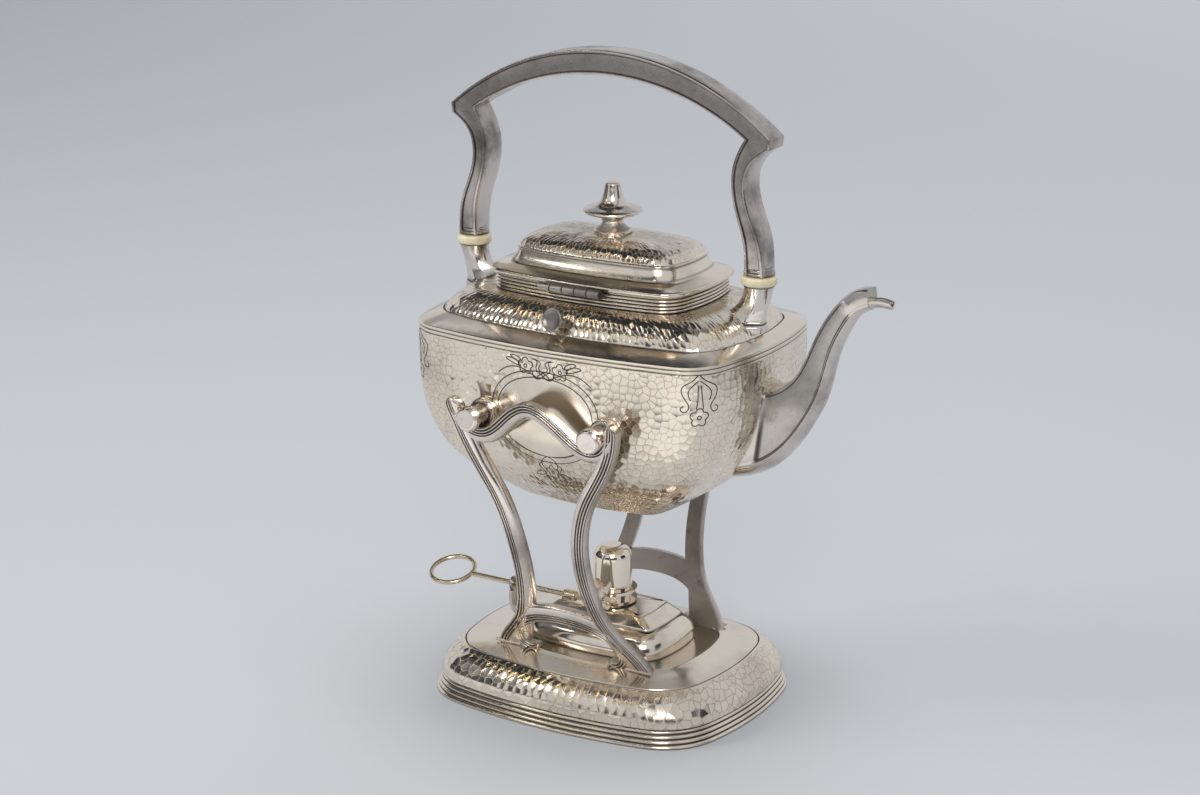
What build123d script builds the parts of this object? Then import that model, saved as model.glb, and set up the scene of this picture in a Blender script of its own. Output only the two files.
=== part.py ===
from build123d import *
import os
from math import cos, radians, sin

# Tilting spirit kettle on its stand, with a spirit lamp below. Millimetres, +Z up, +X towards the spout.
# The origin is the centre of the base's underside. Front means the -Y side.

# Sheet and running clearances
sheet = 1.2                    # wall of the raised sheet bodies
heavy_sheet = 1.6              # wall of the lower kettle body
seam = 0.3                     # gap between pieces that move past each other
running = 0.05                 # radial clearance of a pin in its hole

# Base of the stand
foot_half_x, foot_half_y = 85.0, 69.0
foot_bow, foot_corner = 10.0, 33.0
foot_rim_height = 9.5
foot_rim_depth = 3.4
foot_reeds = 4
foot_rim_step = 2.6            # how far the moulding draws in to its top
reed_groove = 0.6
base_swell_half_x, base_swell_half_y, base_swell_z = 79.6, 64.6, 18.0
base_line_half_x, base_line_half_y, base_line_z = 72.0, 56.0, 25.4
deck_half_x, deck_half_y, deck_z = 54.0, 39.5, 28.4
deck_step = 0.8
deck_bow, deck_corner = 5.0, 16.0

# Side frames of the stand: flat castings that lean outwards
frame_foot_y, frame_foot_z = 38.0, 27.0
frame_lean = 16.5
frame_depth = 6.0
leg_width = 8.8
rail_width = 9.0
arch_width = 11.0
arch_crown_z, arch_spring_x = 54.6, 27.0
foot_pad_outer_x, foot_pad_inner_x, foot_pad_height = 45.5, 18.5, 5.0
hump_z, cradle_z = 168.0, 149.4
leg_hook_x, leg_hook_z = 43.9, 163.2

# Pivot pins of the kettle
pin_x, pin_z = 34.2, 159.1
pin_neck_radius = 5.0
pin_head_radius, pin_head_length = 6.2, 4.6
pin_head_y = 81.4              # outer end of the head
boss_radius, boss_end_y = 7.3, 67.8
boss_root_y = 50.0
boss_bore_depth = 4.2
cradle_clearance = 0.35

# Lower body of the kettle
rim_half_x, rim_half_y, rim_z = 88.6, 65.0, 195.9
body_bow, body_corner = 9.0, 27.0
belly_half_x, belly_half_y, belly_z = 87.2, 62.5, 163.0
turn_half_x, turn_half_y, turn_z = 79.0, 55.0, 130.0
under_half_x, under_half_y, under_z = 66.0, 44.0, 116.6
floor_half_x, floor_half_y, floor_z = 52.0, 31.0, 113.4

# Shoulder, neck and lid
band_half_x, band_half_y, band_z = 83.0, 50.5, 199.6
crown_half_x, crown_half_y, crown_z = 76.0, 46.0, 206.6
neck_half_x, neck_half_y, neck_foot_z = 55.0, 35.0, 211.5
neck_bow, neck_corner = 5.0, 14.0
neck_top_z = 220.2
neck_wall = 1.6
neck_reeds = 3
lid_half_x, lid_half_y, lid_edge = 57.0, 37.0, 2.2
lid_step_half_x, lid_step_half_y, lid_step_z = 48.5, 29.0, 225.2
lid_dome_half_x, lid_dome_half_y, lid_dome_z = 45.5, 26.0, 232.6
lid_crown_half_x, lid_crown_half_y, lid_crown_z = 30.0, 15.0, 240.6
bezel_depth = 6.0

# Finial
finial_base_radius, finial_waist_radius, finial_flange_radius = 9.5, 5.2, 14.8
finial_base_height, finial_flange_height, finial_height = 1.6, 10.5, 25.0
finial_tip_radius, finial_stem_radius = 3.6, 4.4
finial_screw_radius, finial_screw_length = 2.0, 5.0

# Lid hinge on the front edge
hinge_y, hinge_z = 40.6, 219.4
knuckle_radius, hinge_pin_radius = 2.3, 1.0
knuckle_length, knuckle_count = 7.0, 5
leaf_thickness, leaf_height = 1.0, 5.4

# Lid rest on the shoulder
rest_x, rest_y, rest_z = -2.0, 54.0, 207.6
rest_half_width, rest_half_height, rest_dish = 5.4, 6.2, 1.4
rest_thickness, rest_stub_radius, rest_stub_length = 2.2, 2.6, 8.0
rest_tip = 14.0                # backward tip of the dish, degrees

# Handle, its insulators and sockets
handle_thickness = 12.0
handle_arch_top_z, handle_arch_radius = 331.0, 130.0
handle_arch_depth = 12.6
handle_tip_x, handle_tip_z = 89.0, 295.6
handle_waist_x, handle_waist_z = 78.0, 273.0
handle_leg_width = 11.2
handle_foot_x, handle_foot_z = 82.0, 229.8
handle_panel_border, handle_panel_depth = 2.4, 0.8
insulator_radius, insulator_height, insulator_z = 8.6, 5.6, 224.1
stud_radius, stud_length = 2.2, 12.0
socket_top_radius = 7.6
socket_mid_x, socket_mid_z, socket_mid_half_x, socket_mid_half_y = 77.5, 212.5, 10.0, 6.2
socket_foot_x, socket_foot_z, socket_foot_half_x, socket_foot_half_y = 70.0, 200.0, 16.0, 8.4

# Spout: stations from the root to the lip, each an upper point, a lower point and a half width in Y
spout_wall = 1.5
spout_root_upper, spout_root_lower, spout_root_half = (82.0, 173.0), (68.0, 127.0), 12.5
spout_hip_upper, spout_hip_lower, spout_hip_half = (102.0, 179.0), (104.0, 146.0), 10.2
spout_knee_upper, spout_knee_lower, spout_knee_half = (109.2, 191.6), (119.6, 172.6), 8.0
spout_stem_upper, spout_stem_lower, spout_stem_half = (115.7, 206.6), (125.6, 195.0), 6.8
spout_neck_upper, spout_neck_lower, spout_neck_half = (123.6, 220.0), (132.4, 210.4), 6.0
spout_beak_upper, spout_beak_lower, spout_beak_half = (135.0, 230.0), (138.4, 218.6), 5.4
spout_lip_upper, spout_lip_lower, spout_lip_half = (150.4, 229.8), (152.6, 221.6), 4.2
spout_mouth_x = 143.0
spout_tip_x = 157.0

# Spirit lamp
lamp_bow, lamp_corner = 4.0, 13.0
step_bow, step_corner = 2.0, 5.0
well_half_x, well_half_y = 35.0, 23.0
well_floor_z = 13.0
lamp_edge_half_x, lamp_edge_half_y = 40.5, 28.5
lamp_swell_half_x, lamp_swell_half_y, lamp_swell_z = 40.0, 27.6, 34.5
lamp_step_half_x, lamp_step_half_y, lamp_step_z = 34.0, 19.6, 40.8
lamp_top_half_x, lamp_top_half_y, lamp_top_z = 25.0, 14.0, 46.4
collar_radius, collar_flange_radius = 9.6, 12.8
collar_lower_flange_z, collar_upper_flange_z, collar_flange = 47.4, 52.6, 1.5
collar_top_z = 55.0
wick_tube_radius, wick_tube_bore, wick_tube_top_z = 5.0, 4.0, 62.5
wick_stand = 3.0
wick_foot_z = 20.0
cap_radius, cap_wall, cap_top_z = 10.2, 0.9, 76.6
cap_dome_radius = 6.5
rod_y, rod_z, rod_radius = 15.4, 50.6, 1.35
rod_end_x, rod_lug_x = -76.5, 8.0
ring_radius, ring_wire = 11.6, 1.2
lug_half_width, lug_radius = 4.6, 3.2
ear_thickness, ear_radius = 2.0, 3.2
ferrule_x, ferrule_length, ferrule_radius = -19.0, 7.0, 2.8
guide_x, guide_thickness, guide_width, guide_eye_radius = -50.0, 1.6, 7.0, 3.6

lean = radians(frame_lean)


def cushion(half_x, half_y, bow, corner, z=0.0):
    """Cushion-shaped face at a height: four bowed sides with rounded corners."""
    x, y = half_x - bow, half_y - bow
    with BuildSketch(Plane.XY.offset(z)) as outline:
        with BuildLine():
            ThreePointArc((-x, -y), (0, -half_y), (x, -y))
            ThreePointArc((x, -y), (half_x, 0), (x, y))
            ThreePointArc((x, y), (0, half_y), (-x, y))
            ThreePointArc((-x, y), (-half_x, 0), (-x, -y))
        make_face()
        fillet(outline.vertices(), corner)
    return outline.sketch


def cushion_loft(levels, shape, mode=Mode.ADD, ruled=False):
    """Loft through (half_x, half_y, z) levels; shape is the full half length with its bow and corner."""
    full, bow, corner = shape
    loft([cushion(half_x, half_y, bow * half_x / full, corner * half_x / full, z)
          for half_x, half_y, z in levels], ruled=ruled, mode=mode)


def cushion_ring(half_x, half_y, bow, corner, wall, low, high):
    """Upright cushion-shaped ring between two heights."""
    with BuildSketch(Plane.XY.offset(low)) as ring:
        add(cushion(half_x, half_y, bow, corner))
        add(cushion(half_x - wall, half_y - wall, bow, corner - wall), mode=Mode.SUBTRACT)
    extrude(ring.sketch, amount=high - low)


def inset(levels, wall, drop=0.0):
    """The same levels moved inwards by a wall and down by a drop."""
    return [(half_x - wall, half_y - wall, z - drop) for half_x, half_y, z in levels]


def write(part, name):
    """Label a finished piece and write it to its own file."""
    part.label = name
    export_step(part, f"parts/{name}.step")


os.makedirs("parts", exist_ok=True)

# Base: reeded foot moulding
reed_height = foot_rim_height / foot_reeds
with BuildPart() as base_rim:
    cushion_ring(foot_half_x - foot_rim_step, foot_half_y - foot_rim_step, foot_bow, foot_corner,
                 foot_rim_depth - foot_rim_step, 0, foot_rim_height)
    for reed in range(foot_reeds):
        drawn_in = foot_rim_step * reed / foot_reeds
        cushion_ring(foot_half_x - drawn_in, foot_half_y - drawn_in, foot_bow, foot_corner,
                     foot_rim_depth - drawn_in, reed * reed_height, (reed + 1) * reed_height - reed_groove)
write(base_rim.part, "base_rim")

# Base: raised shell with a swelling border, a sloping band and a sunk seat for the lamp
base_shape = (foot_half_x, foot_bow, foot_corner)
base_levels_low = [(foot_half_x - foot_rim_step, foot_half_y - foot_rim_step, foot_rim_height),
                   (base_swell_half_x, base_swell_half_y, base_swell_z),
                   (base_line_half_x, base_line_half_y, base_line_z)]
base_levels_high = [(base_line_half_x, base_line_half_y, base_line_z), (deck_half_x, deck_half_y, deck_z)]
with BuildPart() as base_solid:
    cushion_loft(base_levels_low, base_shape)
    cushion_loft(base_levels_high, base_shape)
with BuildPart() as base_hollow:
    cushion_loft(inset(base_levels_low, sheet, sheet), base_shape)
    cushion_loft(inset(base_levels_high, sheet, sheet), base_shape)
with BuildPart() as base_shell:
    add(base_solid.part)
    add(base_hollow.part, mode=Mode.SUBTRACT)
    extrude(cushion(deck_half_x - deck_step, deck_half_y - deck_step, deck_bow, deck_corner, deck_z - deck_step),
            amount=2 * deck_step, mode=Mode.SUBTRACT)
    extrude(cushion(deck_half_x, deck_half_y, deck_bow, deck_corner, deck_z - deck_step - sheet), amount=sheet)
    extrude(cushion(well_half_x + seam, well_half_y + seam, lamp_bow, lamp_corner, deck_z - 3 * sheet),
            amount=4 * sheet, mode=Mode.SUBTRACT)
write(base_shell.part, "base_shell")

# Side frames: two S-shaped legs, an arch between the feet and a serpentine top rail with two cradles
front_frame_plane = Plane(origin=(0, -frame_foot_y, frame_foot_z), x_dir=(1, 0, 0),
                          z_dir=(0, -cos(lean), -sin(lean)))


def up(z):
    """Distance along the leaning frame for a height above the floor."""
    return (z - frame_foot_z) / cos(lean)


leg_points = [(39.6, up(28.5)), (26.6, up(44.5)), (18.2, up(66)), (16.9, up(91)), (24.6, up(122)),
              (38.2, up(146)), (leg_hook_x, up(leg_hook_z))]
rail_points = [(-leg_hook_x + 1.6, up(157.5)), (-pin_x + 3.4, up(cradle_z)), (-16.6, up(157.6)), (0, up(hump_z)),
               (16.6, up(157.6)), (pin_x - 3.4, up(cradle_z)), (leg_hook_x - 1.6, up(157.5))]

with BuildPart() as front_frame:
    with BuildSketch(front_frame_plane):
        for side in (-1, 1):
            with BuildLine(mode=Mode.PRIVATE) as leg_line:
                Spline(*[(side * x, v) for x, v in leg_points])
            trace(leg_line.line, leg_width)
            with BuildLine():
                Polyline((side * foot_pad_outer_x, up(frame_foot_z) - foot_pad_height),
                         (side * foot_pad_outer_x, up(frame_foot_z + 1.5)),
                         (side * 35.5, up(40)),
                         (side * 22.0, up(36)),
                         (side * foot_pad_inner_x, up(frame_foot_z + 1)),
                         (side * foot_pad_inner_x, up(frame_foot_z) - foot_pad_height), close=True)
            make_face()
        with BuildLine(mode=Mode.PRIVATE) as rail_line:
            Spline(*rail_points)
        trace(rail_line.line, rail_width)
        with BuildLine(mode=Mode.PRIVATE) as arch_line:
            ThreePointArc((-arch_spring_x, up(42.0)), (0, up(arch_crown_z)), (arch_spring_x, up(42.0)))
        trace(arch_line.line, arch_width)
    extrude(amount=-frame_depth)
    add(base_solid.part, mode=Mode.SUBTRACT)
    for radius, start in ((pin_neck_radius, 0), (pin_head_radius, pin_head_y - pin_head_length - cradle_clearance)):
        with BuildSketch(Plane.XZ.offset(start)):
            with Locations((-pin_x, pin_z), (pin_x, pin_z)):
                Circle(radius + cradle_clearance)
            with Locations((-pin_x, pin_z + radius * 2), (pin_x, pin_z + radius * 2)):
                Rectangle(2 * (radius + cradle_clearance), radius * 4)
        extrude(amount=pin_head_y, mode=Mode.SUBTRACT)
write(front_frame.part, "front_frame")

with BuildPart() as back_frame:
    add(mirror(front_frame.part, about=Plane.XZ))
write(back_frame.part, "back_frame")

# Kettle: lower body, a raised sheet bowl that is open at the rim
body_shape = (rim_half_x, body_bow, body_corner)
body_levels = [(floor_half_x, floor_half_y, floor_z), (under_half_x, under_half_y, under_z),
               (turn_half_x, turn_half_y, turn_z), (belly_half_x, belly_half_y, belly_z),
               (rim_half_x, rim_half_y, rim_z)]


def body_volume(wall):
    """Solid inside the kettle's lower body, at a distance from its outer face."""
    with BuildPart() as volume:
        cushion_loft(inset(body_levels, wall, -wall), body_shape)
    return volume.part


body_outer = body_volume(0)
body_inner = body_volume(heavy_sheet)

spout_stations = [(spout_root_upper, spout_root_lower, spout_root_half),
                  (spout_hip_upper, spout_hip_lower, spout_hip_half),
                  (spout_knee_upper, spout_knee_lower, spout_knee_half),
                  (spout_stem_upper, spout_stem_lower, spout_stem_half),
                  (spout_neck_upper, spout_neck_lower, spout_neck_half),
                  (spout_beak_upper, spout_beak_lower, spout_beak_half),
                  (spout_lip_upper, spout_lip_lower, spout_lip_half)]


def spout_volume(wall):
    """Loft through the spout's stations, drawn in by a wall."""
    with BuildPart() as volume:
        for upper, lower, half_width in spout_stations:
            run, rise = upper[0] - lower[0], upper[1] - lower[1]
            length = (run ** 2 + rise ** 2) ** 0.5
            middle = ((upper[0] + lower[0]) / 2, 0, (upper[1] + lower[1]) / 2)
            station = Plane(origin=middle, x_dir=(0, 1, 0), z_dir=(rise / length, 0, -run / length))
            with BuildSketch(station):
                RectangleRounded(2 * (half_width - wall), length - 2 * wall, (half_width - wall) * 0.55)
        loft()
    return volume.part


spout_outer = spout_volume(0)
spout_bore = spout_volume(spout_wall)

with BuildPart() as kettle_body:
    add(body_outer)
    add(body_inner, mode=Mode.SUBTRACT)
    add(spout_bore, mode=Mode.SUBTRACT)
write(kettle_body.part, "kettle_body")

# Pivot bosses on the kettle's long walls, each with a hole for its pin, and the four pins
boss_places = {"spout_front": (pin_x, -1), "spout_back": (pin_x, 1),
               "rear_front": (-pin_x, -1), "rear_back": (-pin_x, 1)}


def across(x, y, side):
    """Plane facing outwards along Y at a pin's centre."""
    return Plane(origin=(x, side * y, pin_z), x_dir=(side, 0, 0), z_dir=(0, side, 0))


for place, (x, side) in boss_places.items():
    with BuildPart() as boss:
        with BuildSketch(across(x, boss_root_y, side)):
            Circle(boss_radius)
        extrude(amount=boss_end_y - boss_root_y)
        fillet(boss.faces().sort_by(Axis.Y)[0 if side < 0 else -1].edges(), 0.8)
        add(body_outer, mode=Mode.SUBTRACT)
        with BuildSketch(across(x, boss_end_y - boss_bore_depth, side)):
            Circle(pin_neck_radius + running)
        extrude(amount=boss_bore_depth, mode=Mode.SUBTRACT)
    write(boss.part, f"pivot_boss_{place}")
    with BuildPart() as pin:
        with BuildSketch(across(x, boss_end_y - boss_bore_depth + seam, side)):
            Circle(pin_neck_radius)
        extrude(amount=pin_head_y - boss_end_y + boss_bore_depth - seam)
        with BuildSketch(across(x, pin_head_y - pin_head_length, side)):
            Circle(pin_head_radius)
        extrude(amount=pin_head_length)
        chamfer(pin.faces().sort_by(Axis.Y)[0 if side < 0 else -1].edges(), 0.8)
    write(pin.part, f"pivot_pin_{place}")

# Kettle: shoulder sheet from the rim to the neck
band_levels = [(rim_half_x, rim_half_y, rim_z), (band_half_x, band_half_y, band_z)]
dome_levels = [(band_half_x, band_half_y, band_z), (crown_half_x, crown_half_y, crown_z),
               (neck_half_x + 3, neck_half_y + 2.4, neck_foot_z)]


def shoulder_volume(wall):
    """Solid under the shoulder, at a distance below its outer face."""
    with BuildPart() as volume:
        cushion_loft(inset(band_levels, wall, wall), body_shape)
        cushion_loft(inset(dome_levels, wall, wall), body_shape)
    return volume.part


shoulder_outer = shoulder_volume(0)
with BuildPart() as kettle_shoulder:
    add(shoulder_outer)
    add(shoulder_volume(sheet), mode=Mode.SUBTRACT)
    with BuildSketch(Plane.XY.offset(rim_z)):
        add(cushion(neck_half_x - neck_wall, neck_half_y - neck_wall, neck_bow, neck_corner - neck_wall))
    extrude(amount=neck_top_z - rim_z, mode=Mode.SUBTRACT)
write(kettle_shoulder.part, "kettle_shoulder")

# Neck: reeded collar that carries the lid
with BuildPart() as kettle_neck:
    cushion_ring(neck_half_x, neck_half_y, neck_bow, neck_corner, neck_wall, neck_foot_z, neck_top_z)
    reed_step = (neck_top_z - neck_foot_z) / neck_reeds
    for reed in range(neck_reeds):
        cushion_ring(neck_half_x + 0.9, neck_half_y + 0.9, neck_bow, neck_corner, neck_wall,
                     neck_foot_z + reed * reed_step + 0.5, neck_foot_z + (reed + 1) * reed_step - 0.5)
write(kettle_neck.part, "kettle_neck")

# Lid: flange, hollow step and hammered dome in one sheet, with a bezel that drops into the neck
lid_shape = (lid_half_x, neck_bow, neck_corner)
lid_low = [(lid_half_x, lid_half_y, neck_top_z + lid_edge), (lid_step_half_x, lid_step_half_y, lid_step_z)]
lid_mid = [(lid_step_half_x, lid_step_half_y, lid_step_z), (lid_dome_half_x, lid_dome_half_y, lid_dome_z)]
lid_high = [(lid_dome_half_x, lid_dome_half_y, lid_dome_z),
            (lid_dome_half_x - 5.5, lid_dome_half_y - 5.0, lid_dome_z + 4.9),
            (lid_crown_half_x, lid_crown_half_y, lid_crown_z)]
lid_inner_half_x = neck_half_x - neck_wall - seam - sheet
lid_inner_half_y = neck_half_y - neck_wall - seam - sheet
with BuildPart() as lid_cavity:
    extrude(cushion(lid_inner_half_x, lid_inner_half_y, neck_bow, neck_corner - 2, neck_top_z - 1),
            amount=lid_edge)
    extrude(cushion(lid_step_half_x - sheet, lid_step_half_y - sheet, neck_bow, neck_corner, neck_top_z),
            amount=lid_step_z - sheet - neck_top_z)
    for band in (lid_mid, lid_high):
        cushion_loft(inset(band, sheet, sheet), lid_shape)
with BuildPart() as lid:
    extrude(cushion(lid_half_x, lid_half_y, neck_bow, neck_corner, neck_top_z), amount=lid_edge)
    for band in (lid_low, lid_mid, lid_high):
        cushion_loft(band, lid_shape)
    add(lid_cavity.part, mode=Mode.SUBTRACT)
    with BuildSketch(Plane.XY.offset(lid_crown_z - 2 * sheet)):
        Circle(finial_screw_radius + running)
    extrude(amount=4 * sheet, mode=Mode.SUBTRACT)
write(lid.part, "lid")

with BuildPart() as lid_bezel:
    cushion_ring(neck_half_x - neck_wall - seam, neck_half_y - neck_wall - seam, neck_bow,
                 neck_corner - neck_wall, sheet, neck_top_z - bezel_depth, neck_top_z)
write(lid_bezel.part, "lid_bezel")

# Finial: turned knob with a screw through the lid and a nut inside
foot = lid_crown_z
flange_z = foot + finial_flange_height
with BuildPart() as lid_finial:
    with BuildSketch(Plane.XZ):
        with BuildLine():
            Polyline((0, foot), (finial_base_radius, foot), (finial_base_radius, foot + finial_base_height),
                     (finial_waist_radius + 2.0, foot + finial_base_height + 0.8))
            ThreePointArc((finial_waist_radius + 2.0, foot + finial_base_height + 0.8),
                          (finial_waist_radius, foot + finial_flange_height * 0.5),
                          (finial_flange_radius - 2.2, flange_z - 0.8))
            Polyline((finial_flange_radius - 2.2, flange_z - 0.8), (finial_flange_radius, flange_z),
                     (finial_flange_radius, flange_z + 0.9), (finial_flange_radius - 2.0, flange_z + 1.8))
            Spline((finial_flange_radius - 2.0, flange_z + 1.8), (finial_stem_radius + 1.6, flange_z + 5.0),
                   (finial_stem_radius, foot + finial_height - 5.4), (finial_tip_radius, foot + finial_height - 2.2),
                   (0, foot + finial_height), tangents=((-1, 0.35), (-1, 0)))
            Line((0, foot + finial_height), (0, foot))
        make_face()
    revolve(axis=Axis.Z)
    with BuildSketch(Plane.XY.offset(foot)):
        Circle(finial_screw_radius)
    extrude(amount=-finial_screw_length)
write(lid_finial.part, "lid_finial")

with BuildPart() as finial_nut:
    with BuildSketch(Plane.XY.offset(lid_crown_z - sheet - 2.6)):
        RegularPolygon(4.6, 6)
        Circle(finial_screw_radius + running, mode=Mode.SUBTRACT)
    extrude(amount=2.6)
write(finial_nut.part, "finial_nut")

# Lid hinge: five knuckles on a pin, shared between the neck's leaf and the lid's leaf
hinge_length = knuckle_length * knuckle_count


def knuckles(numbers):
    """Barrel segments of the hinge by their place along it, counted from the rear end."""
    for number in numbers:
        start = -hinge_length / 2 + number * knuckle_length + seam / 2
        with BuildSketch(Plane(origin=(start, -hinge_y, hinge_z), x_dir=(0, 1, 0), z_dir=(1, 0, 0))) as barrel:
            Circle(knuckle_radius)
            Circle(hinge_pin_radius + running, mode=Mode.SUBTRACT)
        extrude(barrel.sketch, amount=knuckle_length - seam)


neck_wall_y = neck_half_y + 0.9
with BuildPart() as hinge_neck_leaf:
    knuckles(range(0, knuckle_count, 2))
    for number in range(0, knuckle_count, 2):
        start = -hinge_length / 2 + number * knuckle_length + knuckle_length / 2
        with BuildSketch(Plane(origin=(start, -hinge_y, hinge_z - knuckle_radius + leaf_thickness / 2))):
            with Locations((0, (hinge_y - neck_wall_y) / 2)):
                Rectangle(knuckle_length - seam, hinge_y - neck_wall_y)
        extrude(amount=leaf_thickness / 2, both=True)
    with BuildSketch(Plane(origin=(0, -hinge_y, hinge_z), x_dir=(0, 1, 0), z_dir=(1, 0, 0))):
        Circle(hinge_pin_radius + running)
    extrude(amount=hinge_length, both=True, mode=Mode.SUBTRACT)
write(hinge_neck_leaf.part, "hinge_neck_leaf")

with BuildPart() as hinge_lid_leaf:
    knuckles(range(1, knuckle_count, 2))
    for number in range(1, knuckle_count, 2):
        start = -hinge_length / 2 + number * knuckle_length + knuckle_length / 2
        with BuildSketch(Plane(origin=(start, -hinge_y, hinge_z + knuckle_radius - leaf_thickness / 2))):
            with Locations((0, (hinge_y - lid_half_y) / 2)):
                Rectangle(knuckle_length - seam, hinge_y - lid_half_y)
        extrude(amount=leaf_thickness / 2, both=True)
    with BuildSketch(Plane(origin=(0, -hinge_y, hinge_z), x_dir=(0, 1, 0), z_dir=(1, 0, 0))):
        Circle(hinge_pin_radius + running)
    extrude(amount=hinge_length, both=True, mode=Mode.SUBTRACT)
write(hinge_lid_leaf.part, "hinge_lid_leaf")

with BuildPart() as hinge_pin:
    with BuildSketch(Plane(origin=(-hinge_length / 2, -hinge_y, hinge_z), x_dir=(0, 1, 0), z_dir=(1, 0, 0))):
        Circle(hinge_pin_radius)
    extrude(amount=hinge_length)
write(hinge_pin.part, "hinge_pin")

# Lid rest: a small oval dish that stands on the shoulder and stops the open lid
tip = radians(rest_tip)
rest_plane = Plane(origin=(rest_x, -rest_y, rest_z), x_dir=(1, 0, 0), z_dir=(0, -cos(tip), sin(tip)))
with BuildPart() as lid_rest:
    with BuildSketch(rest_plane):
        Ellipse(rest_half_width, rest_half_height)
    extrude(amount=-rest_thickness)
    dish_radius = ((rest_half_width - 0.8) ** 2 + rest_dish ** 2) / (2 * rest_dish)
    with Locations(rest_plane.offset(dish_radius - rest_dish)):
        Sphere(dish_radius, mode=Mode.SUBTRACT)
    with BuildSketch(rest_plane.offset(-rest_thickness)):
        Circle(rest_stub_radius)
    extrude(amount=-rest_stub_length)
    add(shoulder_outer, mode=Mode.SUBTRACT)
write(lid_rest.part, "lid_rest")

# Handle: bail with a segmental arch, pointed corners and cyma legs, panelled on both faces
arch_centre_z = handle_arch_top_z - handle_arch_radius
half_leg = handle_leg_width / 2


def arch_z(x, drop=0.0):
    """Height of the handle's arch at x, on a circle drawn in by a drop."""
    return arch_centre_z + ((handle_arch_radius - drop) ** 2 - x ** 2) ** 0.5


inner_corner_x = 72.0
with BuildSketch(Plane.XZ) as handle_outline:
    with BuildLine():
        ThreePointArc((-handle_tip_x, handle_tip_z), (0, handle_arch_top_z), (handle_tip_x, handle_tip_z))
        ThreePointArc((-inner_corner_x, arch_z(inner_corner_x, handle_arch_depth)),
                      (0, handle_arch_top_z - handle_arch_depth),
                      (inner_corner_x, arch_z(inner_corner_x, handle_arch_depth)))
        for side in (-1, 1):
            Spline((side * handle_tip_x, handle_tip_z), (side * 80.6, 286.0),
                   (side * handle_waist_x, handle_waist_z), (side * 86.6, 245.5),
                   (side * (handle_foot_x + half_leg + 0.6), handle_foot_z),
                   tangents=((-side * 0.6, -1), (side * 0.02, -1)))
            Line((side * (handle_foot_x + half_leg + 0.6), handle_foot_z),
                 (side * (handle_foot_x - half_leg + 0.6), handle_foot_z))
            Spline((side * (handle_foot_x - half_leg + 0.6), handle_foot_z), (side * 74.6, 246.0),
                   (side * 68.4, 272.0), (side * 68.8, 284.6),
                   (side * inner_corner_x, arch_z(inner_corner_x, handle_arch_depth)),
                   tangents=((side * 0.02, 1), (side * 0.6, 1)))
    make_face()
with BuildPart() as handle:
    extrude(handle_outline.sketch, amount=handle_thickness / 2, both=True)
    with BuildSketch(Plane.XY.offset(handle_foot_z)):
        with Locations((-handle_foot_x, 0), (handle_foot_x, 0)):
            Circle(stud_radius)
    extrude(amount=stud_length / 2 - insulator_height / 2, mode=Mode.SUBTRACT)
write(handle.part, "handle")

for place, side in (("spout", 1), ("rear", -1)):
    with BuildPart() as insulator:
        with BuildSketch(Plane(origin=(side * handle_foot_x, 0, insulator_z))):
            Circle(insulator_radius)
            Circle(stud_radius + running, mode=Mode.SUBTRACT)
        extrude(amount=insulator_height)
        fillet(insulator.edges().filter_by(GeomType.CIRCLE).group_by(SortBy.RADIUS)[-1], 1.8)
    write(insulator.part, f"insulator_{place}")

    with BuildPart() as stud:
        with BuildSketch(Plane(origin=(side * handle_foot_x, 0, insulator_z + insulator_height / 2
                                       - stud_length / 2))):
            Circle(stud_radius)
        extrude(amount=stud_length)
    write(stud.part, f"handle_stud_{place}")

    with BuildPart() as socket:
        with BuildSketch(Plane(origin=(side * handle_foot_x, 0, insulator_z))):
            Circle(socket_top_radius)
        with BuildSketch(Plane(origin=(side * socket_mid_x, 0, socket_mid_z))):
            Ellipse(socket_mid_half_x, socket_mid_half_y)
        with BuildSketch(Plane(origin=(side * socket_foot_x, 0, socket_foot_z))):
            Ellipse(socket_foot_half_x, socket_foot_half_y)
        loft()
        add(shoulder_outer, mode=Mode.SUBTRACT)
        add(stud.part, mode=Mode.SUBTRACT)
    write(socket.part, f"handle_socket_{place}")

# Spout: a swan neck with an open beak, cut back where it meets the kettle's wall
with BuildPart() as spout:
    add(spout_outer)
    add(spout_bore, mode=Mode.SUBTRACT)
    add(body_outer, mode=Mode.SUBTRACT)
    with BuildSketch(Plane.XZ):
        with BuildLine():
            Polyline((spout_mouth_x, 228.4), (spout_tip_x + 4, 225.6), (spout_tip_x + 4, 240.0),
                     (spout_mouth_x, 240.0), close=True)
        make_face()
    extrude(amount=20, both=True, mode=Mode.SUBTRACT)
write(spout.part, "spout")

# Lamp: font that drops into the base, with a swelling rim and a chamfered upper step
lamp_seat_z = deck_z - deck_step
lamp_shape = (lamp_edge_half_x, lamp_bow, lamp_corner)
step_shape = (lamp_step_half_x, step_bow, step_corner)
lamp_low = [(lamp_edge_half_x, lamp_edge_half_y, lamp_seat_z), (lamp_swell_half_x, lamp_swell_half_y, lamp_swell_z),
            (lamp_step_half_x, lamp_step_half_y, lamp_step_z)]
lamp_high = [(lamp_step_half_x - 1.0, lamp_step_half_y - 1.0, lamp_step_z),
             (lamp_top_half_x, lamp_top_half_y, lamp_top_z)]
with BuildPart() as lamp_pan:
    with BuildSketch(Plane.XY.offset(well_floor_z)):
        add(cushion(well_half_x, well_half_y, lamp_bow, lamp_corner))
    extrude(amount=lamp_seat_z - well_floor_z)
    with BuildSketch(Plane.XY.offset(well_floor_z + sheet)):
        add(cushion(well_half_x - sheet, well_half_y - sheet, lamp_bow, lamp_corner - sheet))
    extrude(amount=lamp_seat_z - well_floor_z, mode=Mode.SUBTRACT)
write(lamp_pan.part, "lamp_pan")

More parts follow.
